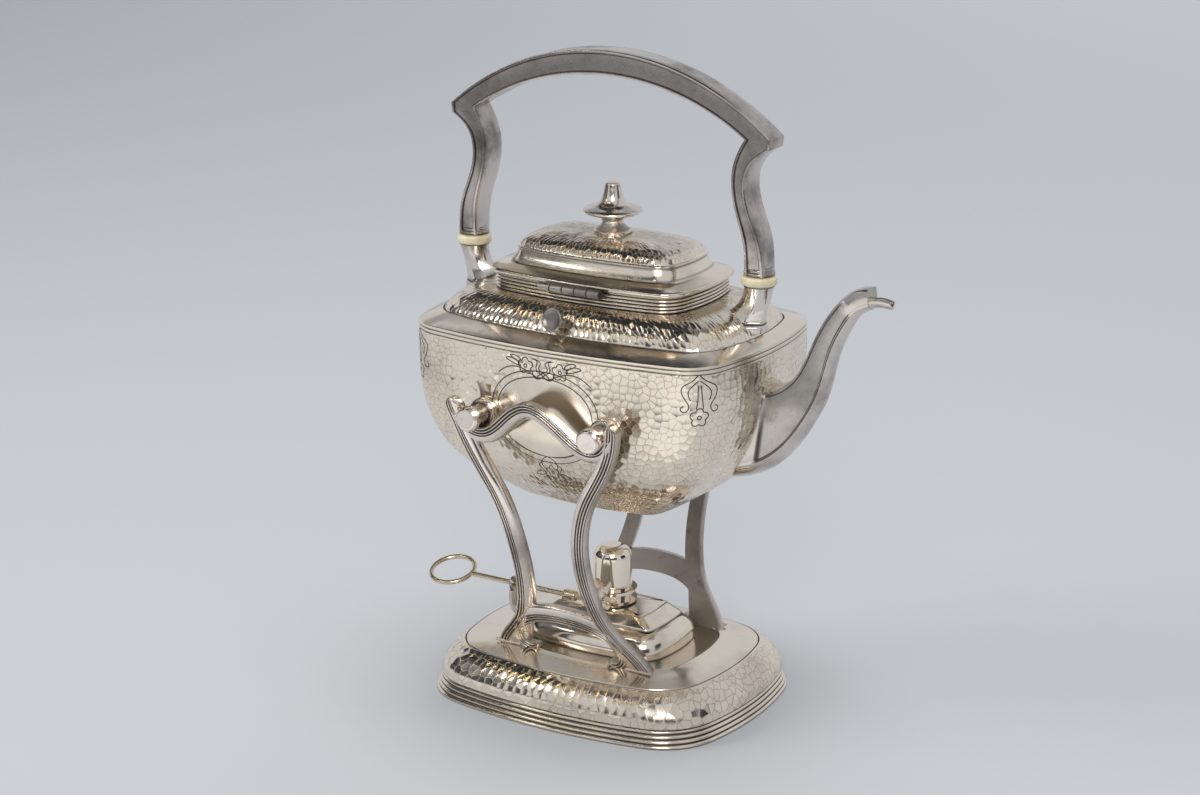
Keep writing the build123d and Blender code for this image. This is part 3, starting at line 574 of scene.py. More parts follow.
@dataclass(frozen=True)
class Tone:
    """Plain matt colour of the floor and of the cards that the metal mirrors."""

    name: str
    colour: tuple

    def build(self) -> bpy.types.Material:
        """Makes the material."""
        return Graph(bpy.data.materials.new(self.name)).finish(Base_Color=(*self.colour, 1.0), Roughness=0.8)


@functools.cache
def finish(kind: Silver | Bone | Cotton | Tone) -> bpy.types.Material:
    """The material of a finish, made once."""
    return kind.build()


HAMMERED = Silver("hammered_plate", Work.HAMMERED, roughness=0.11)
BOWL = Silver("hammered_bowl", Work.HAMMERED, cell=3.6)
BASE = Silver("hammered_base", Work.HAMMERED, cell=4.5, dimple_depth=0.1, roughness=0.11)
POLISHED = Silver("polished_plate", Work.POLISHED, cloud=0.4, roughness=0.08)
CAST = Silver("cast_plate", Work.CAST, (0.88, 0.80, 0.72), cloud=0.8)
SPOUT = Silver("spout_plate", Work.CAST, (0.72, 0.67, 0.62), (0.24, 0.22, 0.20), cloud=0.8)
SOCKET = Silver("socket_plate", Work.CAST, (0.78, 0.73, 0.67), (0.20, 0.18, 0.17), roughness=0.12, cloud=0.5)
DARK_CAST = Silver("dark_cast_plate", Work.CAST, (0.66, 0.60, 0.56), (0.07, 0.065, 0.06), roughness=0.12, cloud=0.95)
DISH = Silver("dish_plate", Work.CAST, (0.40, 0.37, 0.34), (0.14, 0.13, 0.12), roughness=0.2, cloud=0.8)
ENGRAVED = Silver("engraved_lines", Work.POLISHED, (0.10, 0.085, 0.07), (0.06, 0.05, 0.04), roughness=0.4)
GILT = Silver("gilt_plate", Work.POLISHED, (0.80, 0.69, 0.50), (0.5, 0.42, 0.32), roughness=0.16)
BONE = Bone()
COTTON = Cotton()
SLOTS = {BONE.name: "bone", COTTON.name: "wick_cotton", GILT.name: "gilt_rod"}


def put(name: str, data: bpy.types.ID, place: Sequence | None = None, back: Vector | None = None) -> bpy.types.Object:
    """A new object in the scene; a camera or lamp also gets its place and the direction that its back points in."""
    made = bpy.data.objects.new(name, data)
    bpy.context.scene.collection.objects.link(made)
    if place is not None:
        made.location = place
        made.rotation_euler = back.to_track_quat("Z", "Y").to_euler()
    return made


def piece(name: str, patch: Patch, look: Silver | Bone | Cotton, body: str, *nodes: str) -> bpy.types.Object:
    """Turns a patch into a piece that rides on a body and stands for CAD nodes.

    Args:
        name: The piece's name.
        patch: Its surface in millimetres.
        look: Its finish.
        body: The CAD body it rides on.
        nodes: CAD nodes that it stands for.

    Returns:
        The new object.
    """
    mesh = bpy.data.meshes.new(name)
    faces = [face for group in patch.faces for face in group.tolist()]
    mesh.from_pydata((patch.points * MM).tolist(), [], faces)
    layer = mesh.uv_layers.new(name="real_size")
    layer.data.foreach_set("uv", np.concatenate([u.reshape(-1) for u in patch.uvs]))
    for key in ("dirt", "hammer"):
        mark = mesh.attributes.new(key, "FLOAT", "POINT")
        mark.data.foreach_set("value", patch.marks.get(key, np.zeros(len(patch.points))))
    mesh.shade_smooth()
    mesh.set_sharp_from_angle(angle=SHARP_ANGLE)
    mesh.materials.append(finish(look))
    made = put(name, mesh)
    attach(made, body)
    SLOTS.get(look.name, "silver_plate")
    if nodes:
        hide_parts(*nodes)
    LOG.info("%s: %d faces", name, len(faces))
    return made


def repaint(name: str, look: Silver) -> None:
    """Gives a CAD node that stays visible another finish."""
    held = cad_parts[name].data.materials
    held.clear()
    held.append(finish(look))


# The stand

@dataclass
class Base:
    """Cushion-shaped base: reeded foot moulding, hammered swell, polished slope and a sunk seat for the lamp."""

    half: tuple = (85.0, 69.0)
    bow: float = 10.0
    corner: float = 33.0
    rim_height: float = 9.5
    rim_wall: float = 3.4
    draw_in: float = 2.6
    reeds: int = 4
    reed_depth: float = 1.0
    sheet: float = 1.2
    swell: tuple = ((82.4, 66.4, 9.5), (81.7, 66.2, 13.5), (79.6, 64.6, 18.0), (76.2, 61.0, 22.4), (72.0, 56.0, 25.4))
    slope: tuple = ((71.2, 55.2, 25.7), (63.0, 47.6, 26.9), (54.6, 40.1, 28.1), (54.0, 39.5, 28.4))
    well: tuple = (35.3, 23.3)

    def rim(self) -> Patch:
        """Foot moulding: half-round reeds one above the other, drawn in towards the top."""
        reeds = beads(self.reeds, self.rim_height / self.reeds, self.reed_depth, 0.55, steps=9)
        offset = -reeds[:, 1] - self.draw_in * reeds[:, 0] / self.rim_height
        offset = np.append(offset, [-self.rim_wall, -self.rim_wall])
        z = np.append(reeds[:, 0], [self.rim_height, 0.0])
        rows = np.column_stack([self.half[0] + offset, self.half[1] + offset, z])
        return grid(cushions(rows, self.bow, self.corner, side=24, turn=20), along=True,
                    dirt=np.append(smoothstep(reeds[:, 1], 0.35, 0.8), [0.5, 0.5]))

    def shell(self) -> Patch:
        """Raised sheet from the rim to the lamp's well, with its underside."""
        swell = monotone(self.swell, 26)
        line = [(72.0, 56.0, 25.4), (71.75, 55.75, 25.15), (71.5, 55.5, 25.15), (71.2, 55.2, 25.7)]
        slope = monotone(self.slope, 14)
        deck = rounded([(54.0, 39.5, 28.4), (53.2, 38.7, 28.4), (52.9, 38.4, 27.6), (*self.well, 27.6),
                        (*self.well, 26.4)], 0.35, 3)
        under = np.vstack([slope[::-1], swell[::-1]]) - self.sheet
        under[:, 2] = np.maximum(under[:, 2], self.rim_height)
        rows = np.vstack([swell, line, slope[1:], deck[1:], [(52.0, 37.5, 26.4)], under])
        n = len(swell)
        top = n + len(line) + len(slope) + len(deck)
        dirt = stripes(len(rows), (0, 1, 0.7), (n, n + 3, 0.95), (top - len(deck) - 1, top - 3, 0.35),
                       (top - 2, None, 0.8))
        return grid(cushions(rows, self.bow, self.corner, self.half[0]), along=True, dirt=dirt,
                    hammer=stripes(len(rows), (1, n - 2, 1)))

    def dress(self) -> None:
        """Builds and dresses the base."""
        piece("foot_moulding", self.rim(), POLISHED, "stand", "base_rim")
        piece("base_dome", self.shell(), BASE, "stand", "base_shell")


@dataclass
class SideFrame:
    """Leaning casting: two S-shaped legs with reeds on their outer edges, a footed arch and a serpentine rail."""

    side: int = -1
    foot_y: float = 38.0
    foot_z: float = 27.0
    bow: tuple = ((20.0, 0.0), (36.0, 1.6), (60.0, 5.2), (93.0, 7.0), (124.0, 4.8), (144.0, 1.4), (156.0, 0.1),
                  (176.0, 0.0))
    lean: float = math.radians(16.5)
    depth: float = 6.0
    leg_half: float = 4.1
    rail_half: float = 4.3
    reed_pitch: float = 1.45
    reed_depth: float = 0.8
    band_fall: float = 0.62
    clip_z: float = 26.2
    leg: tuple = ((41.6, 24.0), (39.6, 28.5), (26.8, 44.5), (18.8, 66.0), (17.6, 91.0), (25.2, 122.0),
                  (38.4, 146.0), (44.2, 164.0), (45.0, 168.0))
    rail: tuple = ((-44.6, 160.2), (-42.15, 157.05), (-37.4, 151.6), (-30.7, 149.8), (-16.6, 157.6), (0.0, 168.0),
                   (16.6, 157.6), (30.7, 149.8), (37.4, 151.6), (42.15, 157.05), (44.6, 160.2))
    arch_low: tuple = ((-21.0, 30.6), (-23.6, 28.9), (-27.4, 29.9), (-29.8, 33.6), (-29.2, 38.8), (-25.0, 43.8),
                       (-15.0, 48.6), (0.0, 50.2))

    def place(self, flat: Array) -> Array:
        """Points of (x, height, depth) on the casting; depth 0 is the outer face, which leans and bows outwards.

        The face's distance is its foot's, the height times the tangent of the lean, and the bow at that height.
        """
        x, z, w = flat[..., 0], flat[..., 1], flat[..., 2]
        bow = monotone(self.bow, 120)
        face = self.foot_y + (z - self.foot_z) * math.tan(self.lean) + np.interp(z, bow[:, 0], bow[:, 1])
        return np.stack([x, self.side * (face + w / math.cos(self.lean)), z], axis=-1)

    def band(self, path: Array, half_out: Array | float, half_in: Array | float, taper: tuple = (0.0, 0.0)) -> Patch:
        """Strip along a path with three reeds on its left-hand edge and a broad rounded band on the other.

        Across the strip, the reeds are half rounds of one pitch, and the band falls away as a quarter ellipse to the
        back.

        Args:
            path: Points of (x, height) along the strip.
            half_out: Reach of the strip to the left of its path, one for all or one for each point.
            half_in: Reach to the right.
            taper: Lengths over which the start and the end are rounded off.

        Returns:
            The closed strip, on the leaning face.
        """
        ahead = np.gradient(path, axis=0)
        ahead /= np.linalg.norm(ahead, axis=1, keepdims=True)
        left = np.stack([-ahead[:, 1], ahead[:, 0]], axis=1)
        reeds = beads(3, self.reed_pitch, self.reed_depth, 0.6)
        start = 3 * self.reed_pitch + 0.15
        s = np.linspace(0.0, 1.0, 12)
        n = len(path)
        half_out, half_in = (np.broadcast_to(np.reshape(v, (-1, 1)), (n, 1)) for v in (half_out, half_in))
        width = half_out + half_in
        edge_d = np.hstack([np.zeros((n, 2)), np.tile(reeds[:, 0], (n, 1)), start + (width - start) * s, width - 0.3,
                            np.full((n, 1), 0.3)])
        fall = self.band_fall * self.depth * (1 - np.sqrt(1 - (0.99 * s) ** 2))
        edge_w = np.concatenate([[-self.depth, -1.0], -0.1 - reeds[:, 1], -0.15 - fall, [-self.depth, -self.depth]])
        across = half_out - edge_d
        length = arc_lengths(path)
        for reach, room in zip(taper, (length, length[-1] - length)):
            if reach:
                across = across * np.sqrt(1 - (1 - np.clip(room / reach, 0.03, 1)) ** 2)[:, None]
        flat = np.concatenate([path[:, None] + left[:, None] * across[..., None],
                               np.broadcast_to(edge_w[:, None], (*across.shape, 1))], axis=-1)
        flat[..., 1] = np.maximum(flat[..., 1], self.clip_z)
        # The back faces carry painted shade on top of their tarnish. The back frame's back face lies in the shade under
        # the kettle, so it is painted darker.
        back, m = 0.62 if self.side < 0 else 0.75, len(reeds)
        dirt = stripes(len(edge_w), (0, 2, (back, 0.3)), (2, 2 + m, smoothstep(reeds[:, 1], 0.12, 0.4)),
                       (2 + m, 3 + m, 0.9), (-4, None, (0.1, 0.3, back, back)))
        patch = grid(self.place(flat), ends=(True, True), dirt=np.tile(dirt, (n, 1)))
        return patch if self.side < 0 else patch.flipped()

    def legs(self) -> Patch:
        """Both legs: the path runs up the left leg and down the right one, so the reeds stay outside."""
        right = spline(self.leg, 90)
        half_in = self.leg_half + 8.5 * (1 - smoothstep(right[:, 1], 30.0, 48.0))
        up = self.band(right * (-1, 1), self.leg_half, half_in, (0.0, self.leg_half))
        return up + self.band(right[::-1], self.leg_half, half_in[::-1], (self.leg_half, 0.0))

    def rail_patch(self) -> Patch:
        """Serpentine rail; its reeds run along the upper edge."""
        return self.band(spline(self.rail, 150), self.rail_half, self.rail_half, (self.rail_half, self.rail_half))

    def arch(self) -> Patch:
        """Arch over the feet: reeds along the lower edge that curl into a scroll beside each foot."""
        half = spline(self.arch_low, 60, end=(1, 0))
        path = np.vstack([half, (half * (-1, 1))[-2::-1]])[::-1]
        middle = 1 - smoothstep(np.abs(path[:, 0]), 18.0, 27.0)
        rise = smoothstep(path[:, 1], 36.0, 46.0)
        inner = 1.9 + 6.3 * np.minimum(rise, 0.25 + 0.75 * middle)
        return self.band(path, 1.8, inner, (2.2, 2.2))

    def toes(self) -> Patch:
        """Border bead along the bottom of each foot."""
        flat = np.stack([np.linspace(31.0, 45.6, 12), np.full(12, 28.6), np.full(12, -0.55)], axis=1)
        return joined(sweep(self.place(flat * (hand, 1, 1)), (0, self.side * 0.2, 1), ring_section(0.75, 12),
                            dirt=np.full(12, 0.15)) for hand in (-1, 1))

    def dress(self) -> None:
        """Builds and dresses the frame."""
        word = "front" if self.side < 0 else "back"
        whole = self.legs() + self.rail_patch() + self.arch() + self.toes()
        piece(f"{word}_frame_casting", whole, CAST, "stand", f"{word}_frame")


# The kettle

@dataclass
class KettleBody:
    """Lower bowl of the kettle, shoulder and reeded neck."""

    levels: tuple = ((43.5, 31.0, 107.0), (54.5, 40.0, 114.3), (65.6, 49.1, 122.0), (73.8, 55.4, 129.4),
                     (81.5, 60.8, 140.0), (87.0, 63.7, 152.0), (89.8, 64.6, 163.0), (91.3, 64.6, 180.0),
                     (90.6, 65.6, 195.9))
    bow: float = 9.0
    corner: float = 21.5
    wall: float = 1.6
    line_heights: tuple = (194.3, 192.2)
    line_half: float = 0.45
    line_depth: float = 0.35
    neck_half: tuple = (55.0, 35.0)
    neck_bow: float = 5.0
    neck_corner: float = 14.0
    panel: tuple = (27.5, 21.0, 161.0)

    def outline(self, rows: Array) -> Array:
        """Grid of points for (half x, half y, height) rows in the body's family of outlines."""
        return cushions(rows, self.bow, self.corner, self.levels[-1][0], side=34, turn=22)

    def wall_rows(self, count: int = 70) -> Array:
        """Rows of the bowl from its floor to its rim, with two cut lines below the rim."""
        rows = spline(self.levels, count)
        for height in self.line_heights:
            at = np.array([[np.interp(z, rows[:, 2], rows[:, k]) for k in range(3)]
                           for z in (height - self.line_half, height, height + self.line_half)])
            at[1, :2] -= self.line_depth
            rows = np.vstack([rows[np.abs(rows[:, 2] - height) > 0.6], at])
            rows = rows[np.argsort(rows[:, 2])]
        return rows

    def bowl(self) -> Patch:
        """The bowl with its wall."""
        rows = self.wall_rows()
        inner = rows[::-1] - (self.wall, self.wall, 0)
        inner[:, 2] = np.maximum(inner[:, 2], rows[0, 2] + self.wall)
        both = np.vstack([rows, inner])
        points = self.outline(both)
        z = both[:, 2]
        outside = np.arange(len(both)) < len(rows)
        dirt = np.where(outside, 0.0, 0.75)
        for height in self.line_heights:
            dirt = np.where(outside & (np.abs(z - height) < 0.1), 1.0, dirt)
        half_x, half_z, centre = self.panel
        inside = ((points[..., 0] / half_x) ** 2 + ((points[..., 2] - centre) / half_z) ** 2)
        worked = (outside & (z < self.line_heights[1] - 0.6) & (z > 108.0))[:, None] * smoothstep(inside, 0.8, 1.35)
        return grid(points, ends=(True, True), dirt=np.broadcast_to(dirt[:, None], worked.shape), hammer=worked)

    def shoulder(self) -> Patch:
        """Polished band, a cut line and a hammered dome that rises to the neck."""
        band = rounded([(89.4, 64.4, 194.9), (90.6, 65.6, 195.9), (83.8, 51.8, 199.3)], 0.8, 4)
        step = [(83.5, 51.2, 199.45), (83.2, 50.8, 199.1), (82.9, 50.4, 199.9)]
        dome = monotone([(82.9, 50.4, 199.9), (81.4, 49.3, 202.0), (79.5, 48.1, 204.0), (76.3, 46.3, 206.5),
                         (70.4, 43.1, 209.5), (64.5, 40.3, 211.0), (58.0, 37.4, 211.5), (55.8, 35.8, 211.8)], 26)
        under = np.vstack([dome[::-1], band[:0:-1]]) - 1.2
        rows = np.vstack([band, step, dome[1:], [(53.4, 33.4, 211.9), (53.4, 33.4, 210.7)], under])
        n0, n1 = len(band), len(band) + len(step) + len(dome) - 1
        dirt = stripes(len(rows), (n0, n0 + 2, 1.0), (n1 - 2, n1 + 1, (0.4, 0.9, 1.0)), (n1 + 1, None, 0.6))
        return grid(self.outline(rows), along=True, dirt=dirt, hammer=stripes(len(rows), (n0 + 2, n1 - 1, 1)))

    def neck(self) -> Patch:
        """Upright collar with four fine reeds and a plain lip."""
        reeds = beads(4, 1.75, 0.6, 0.45)
        offset = np.concatenate([[0.0], 0.9 - reeds[:, 1], [0.2, 0.9, 0.9, -1.6, -1.6]])
        z = np.concatenate([[211.5], 211.8 + reeds[:, 0], [219.0, 219.2, 220.1, 220.2, 211.5]])
        rows = np.column_stack([self.neck_half[0] + offset, self.neck_half[1] + offset, z])
        dirt = np.concatenate([[1.0], smoothstep(reeds[:, 1], 0.1, 0.4), [1.0, 0.1, 0.0, 0.3, 0.6]])
        return grid(cushions(rows, self.neck_bow, self.neck_corner), along=True, dirt=dirt)

    def dress(self) -> None:
        """Builds and dresses the kettle's raised sheets."""
        piece("kettle_bowl", self.bowl(), BOWL, "kettle", "kettle_body")
        piece("kettle_shoulder_sheet", self.shoulder(), HAMMERED, "kettle", "kettle_shoulder")
        piece("reeded_neck", self.neck(), POLISHED, "kettle", "kettle_neck")


@dataclass
class Engraving:
    """Cut lines of the bowl: an oval frame with ribbons and flowers on both long sides, and a drop on each corner."""

    bowl: KettleBody = field(default_factory=KettleBody)
    width: float = 0.28
    lift: float = 0.03
    thick: float = 0.15
    centre_z: float = 161.0
    corner_at: float = 81.0
    ovals: tuple = ((30.6, 23.4), (27.2, 20.2))
    ribbons: tuple = (((-6.0, 190.4), (-3.2, 189.2), (-4.0, 186.0), (-0.6, 182.6), (2.2, 180.6), (5.4, 181.4),
                       (5.6, 184.0), (3.2, 184.2)),
                      ((-4.6, 190.4), (-1.4, 188.4), (-2.4, 185.8), (0.8, 183.4), (3.4, 181.6)),
                      ((-2.4, 180.6), (-6.0, 182.2), (-12.0, 184.6), (-20.0, 184.2), (-26.0, 180.4)),
                      ((-0.4, 137.9), (-4.4, 137.2), (-7.2, 134.6), (-5.0, 131.4), (-6.6, 128.4)),
                      ((-0.4, 140.6), (-3.4, 139.0), (-5.2, 136.0), (-3.6, 133.4)),
                      ((-0.4, 140.6), (-6.0, 141.4), (-13.0, 143.0), (-19.0, 146.0)))
    leaves: tuple = (((-12.6, 185.6), (-16.0, 188.8), (-21.0, 188.6), (-16.4, 186.4), (-12.6, 185.6)),
                     ((-11.6, 187.4), (-14.2, 190.2), (-18.4, 190.4), (-15.2, 188.2), (-11.6, 187.4)),
                     ((-4.6, 130.6), (-8.8, 131.2), (-12.2, 129.0), (-8.6, 128.8), (-4.6, 130.6)))
    flowers: tuple = ((-10.0, 186.2, 4.3), (9.4, 185.4, 4.3), (0.6, 131.8, 4.0))
    drop: tuple = (((-0.6, 192.0), (-3.6, 189.2), (-8.6, 185.8), (-7.4, 180.4), (-5.4, 176.2), (-7.6, 173.8),
                    (-9.4, 175.4), (-7.8, 177.0)),
                   ((-0.4, 189.4), (-3.8, 186.6), (-5.6, 183.8), (-4.6, 179.8)),
                   ((-0.7, 187.2), (-1.0, 181.8), (-1.7, 175.4)))
    drop_flower: tuple = (0.0, 171.2, 4.6)

    def wall(self, flat: Array) -> tuple[Array, Array]:
        """Points on the bowl's front for (distance from the middle along the outline, height), and their normals.

        The outline at a height is walked from its front middle; the distance grows with the outline's size.
        """
        rows = spline(self.bowl.levels, 200)
        rows = np.stack([np.interp(flat[:, 1], rows[:, 2], rows[:, k]) for k in range(3)], axis=1)
        scale = rows[:, 0] / self.bowl.levels[-1][0]
        lines = self.bowl.outline(rows)[..., :2]
        quarter = lines.shape[1] // 4
        front = np.concatenate([lines[:, 2 * quarter:], lines[:, :1]], axis=1)
        along = np.array([arc_lengths(line) for line in front])
        along -= along[:, quarter:quarter + 1]
        before, after = (np.array([[np.interp((d + nudge) * k, a, f[:, axis]) for axis in (0, 1)]
                                   for d, k, a, f in zip(flat[:, 0], scale, along, front)]) for nudge in (-0.1, 0.1))
        run = after - before
        normal = np.stack([run[:, 1], -run[:, 0], 0 * run[:, 0]], axis=1)
        normal /= np.linalg.norm(normal, axis=1, keepdims=True)
        return np.concatenate([(before + after) / 2, flat[:, 1:]], axis=1), normal

    def stroke(self, flat: Array, closed: bool = False) -> Patch:
        """Fine dark strip that lies on the wall along a line."""
        points, normal = self.wall(flat)
        w, t = self.width, self.thick
        return sweep(points + normal * self.lift, normal, [(-w, 0.0), (w, 0.0), (w, -t), (-w, -t)], closed)

    def flower(self, x: float, z: float, size: float) -> Patch:
        """Five round petals, a wavy closed line, with a small ring in the middle."""
        a = np.linspace(0, TAU, 60, endpoint=False)
        return joined(self.stroke(np.stack([x - reach * np.sin(a), z + reach * np.cos(a)], axis=1), True)
                      for reach in (size * (0.70 + 0.30 * np.abs(np.cos(2.5 * a))), 0.20 * size))

    def oval(self, half_x: float, half_z: float) -> Patch:
        """Closed line a little squarer than an ellipse."""
        a = np.linspace(0, TAU, 110, endpoint=False)
        x, z = (np.sign(v) * np.abs(v) ** 0.9 for v in (np.cos(a), np.sin(a)))
        return self.stroke(np.stack([half_x * x, self.centre_z + half_z * z], axis=1), True)

    def side(self) -> Patch:
        """Every line of the front."""
        made = [self.flower(*flower) for flower in self.flowers] + [self.oval(*half) for half in self.ovals]
        for hand in (-1, 1):
            made += [self.stroke(spline(line, 34) * (hand, 1)) for line in (*self.ribbons, *self.leaves)]
            x, z, size = self.drop_flower
            made.append(self.flower(hand * self.corner_at + x, z, size))
            made += [self.stroke(spline(line, 34) * (mirror, 1) + (hand * self.corner_at, 0))
                     for mirror in (-1, 1) for line in self.drop]
        return joined(made)

    def dress(self) -> None:
        """Builds the lines of the front and, turned half round the object, those of the back."""
        front = self.side()
        piece("engraved_lines", front + front.moved(lambda p: p * (-1, -1, 1)), ENGRAVED, "kettle")


@dataclass
class Lid:
    """Hinged lid: polished flange and cove, hammered dome, turned finial."""

    half: tuple = (57.8, 37.4)
    bow: float = 5.0
    corner: float = 14.0
    crown_z: float = 240.2

    def shell(self) -> Patch:
        """Flange, cove and dome with the hollow underside."""
        flange = rounded([(56.4, 36.0, 220.2), (57.8, 37.4, 220.5), (57.8, 37.4, 222.0), (57.0, 36.7, 222.6),
                          (49.8, 30.2, 224.6), (48.8, 29.3, 225.3)], 0.5, 3)
        cove = spline([(48.8, 29.3, 225.3), (47.5, 28.1, 227.2), (46.4, 27.0, 229.6), (45.9, 26.5, 231.2)], 10)
        lip = rounded([(45.9, 26.5, 231.2), (46.6, 27.2, 231.5), (46.5, 27.1, 232.3), (45.5, 26.1, 232.6)], 0.25, 3)
        dome = monotone([(45.5, 26.1, 232.6), (44.8, 25.4, 234.0), (43.2, 24.0, 235.8), (41.3, 22.4, 237.0),
                         (37.5, 19.4, 238.3), (32.8, 16.0, 239.3), (26.0, 11.5, 240.05), (10.0, 5.0, 240.2)], 30)
        skin = np.vstack([flange, cove[1:], lip[1:], dome[1:]])
        under = skin[::-1] - (1.1, 1.1, 1.0)
        under[:, :2] = np.maximum(under[:, :2], (8.0, 4.0))
        rows = np.vstack([skin, under])
        edge, cove_end, lip_end = np.cumsum([len(flange), len(cove) - 1, len(lip) - 1])
        dirt = stripes(len(rows), (edge - 1, edge + 1, 0.5), (cove_end - 2, cove_end + 1, (0.5, 0.8, 0.6)),
                       (len(skin), None, 0.6))
        return grid(cushions(rows, self.bow, self.corner, self.half[0], side=26, turn=16), ends=(True, True), dirt=dirt,
                    hammer=stripes(len(rows), (lip_end, len(skin), 1)))

    def bezel(self) -> Patch:
        """Ring under the flange that drops into the neck."""
        rows = np.array([[53.1, 33.1, 214.2], [53.1, 33.1, 220.2], [51.9, 31.9, 220.2], [51.9, 31.9, 214.2]])
        return grid(cushions(rows, self.bow, 12.4), along=True, dirt=np.full(4, 0.4))

    def finial(self) -> Patch:
        """Turned knob: foot disc, waist, thin flange and a hollow-sided cone with a blunt tip."""
        low = rounded([(AXIS, -0.1), (9.3, -0.1), (9.4, 1.2), (7.8, 1.9), (7.2, 2.6)], 0.35, 3)
        waist = spline([(7.2, 2.6), (5.4, 4.6), (5.8, 6.8), (9.2, 8.8), (12.8, 9.6)], 16)
        rim = rounded([(12.8, 9.6), (14.7, 10.6), (14.6, 11.6), (12.6, 12.4)], 0.6, 4)
        cone = spline([(12.6, 12.4), (8.4, 13.8), (5.6, 16.6), (4.5, 20.4), (3.9, 23.2)], 20)
        tip = rounded([(3.9, 23.2), (3.8, 24.7), (2.2, 25.0), (AXIS, 25.0)], 0.7, 4)
        profile = np.vstack([low, waist[1:], rim[1:], cone[1:], tip[1:]]) + (0, self.crown_z)
        return lathe(profile, 72, dirt=stripes(len(profile), (len(low) - 5, len(low) + 3, 0.6)))

    def nut(self) -> Patch:
        """Six-sided nut inside the dome."""
        z0, z1 = self.crown_z - 3.8, self.crown_z - 1.2
        return lathe([(AXIS, z0), (4.0, z0), (4.5, z0 + 0.4), (4.5, z1 - 0.3), (4.1, z1), (AXIS, z1)], 6, dirt=0.5)

    def dress(self) -> None:
        """Builds and dresses the lid."""
        piece("lid_dome", self.shell(), HAMMERED, "lid", "lid")
        piece("lid_bezel_ring", self.bezel(), POLISHED, "lid", "lid_bezel")
        piece("turned_finial", self.finial(), CAST, "lid", "lid_finial")
        piece("finial_hex_nut", self.nut(), GILT, "lid", "finial_nut")


@dataclass
class LidHinge:
    """Five-knuckle hinge at the lid's front edge, and the oval rest that stops the open lid."""

    y: float = -40.6
    z: float = 219.4
    radius: float = 2.3
    length: float = 7.0
    count: int = 5
    rest: tuple = (-2.0, -54.0, 207.6)
    rest_tip: float = math.radians(14.0)

    def knuckle(self, number: int) -> Patch:
        """One barrel segment with softened ends."""
        start = -self.length * self.count / 2 + number * self.length + 0.12
        end, r = start + self.length - 0.24, self.radius
        profile = [(AXIS, start), (r - 0.4, start), (r, start + 0.4), (r, end - 0.4), (r - 0.4, end), (AXIS, end)]
        return along_x(lathe(profile, 28, dirt=[0.9, 0.9, 0.5, 0.5, 0.9, 0.9]), self.y, self.z)

    def leaf(self, number: int, to_y: float, z: float) -> Patch:
        """Flat tongue from a knuckle to the wall that carries it."""
        middle = -self.length * self.count / 2 + (number + 0.5) * self.length
        path = np.array([[middle, self.y, z], [middle, to_y, z]])
        half, thick = self.length / 2 - 0.15, 0.5
        return sweep(path, (0, 0, 1), [(half, -thick), (half, thick), (-half, thick), (-half, -thick)],
                     dirt=[0.7, 0.7])

    def dish(self) -> Patch:
        """Oval dish on a stub: a rim bead round a shallow bowl, tipped back."""
        bowl = [(AXIS, -7.5), (2.6, -7.5), (2.6, -2.6), (5.0, -2.2), (6.1, -0.9), (6.1, -0.3), (5.6, 0.0), (5.0, -0.2),
                (3.6, -0.9), (AXIS, -1.4)]
        patch = lathe(rounded(bowl, 0.35, 3), 48, dirt=lambda r, z: np.where((z > -2) & (r < 5.0), 0.45, 0.1))
        x, y, z = self.rest
        c, s = math.cos(self.rest_tip), math.sin(self.rest_tip)

        def stand(p: Array) -> Array:
            across, high, out = p[:, 0] * 0.88, p[:, 1], p[:, 2]
            return np.stack([x + across, y + high * s - out * c, z + high * c + out * s], axis=1)
        return patch.moved(stand)

    def dress(self) -> None:
        """Builds and dresses the hinge and the rest."""
        for word, body, numbers, to_y, rise, nodes in (
                ("neck", "kettle", (0, 2, 4), -35.7, -1.8, ("hinge_neck_leaf", "hinge_pin")),
                ("lid", "lid", (1, 3), -36.8, 1.8, ("hinge_lid_leaf",))):
            parts = [self.knuckle(k) for k in numbers] + [self.leaf(k, to_y, self.z + rise) for k in numbers]
            piece(f"hinge_knuckles_{word}", joined(parts), SPOUT, body, *nodes)
        piece("lid_rest_dish", self.dish(), DISH, "kettle", "lid_rest")


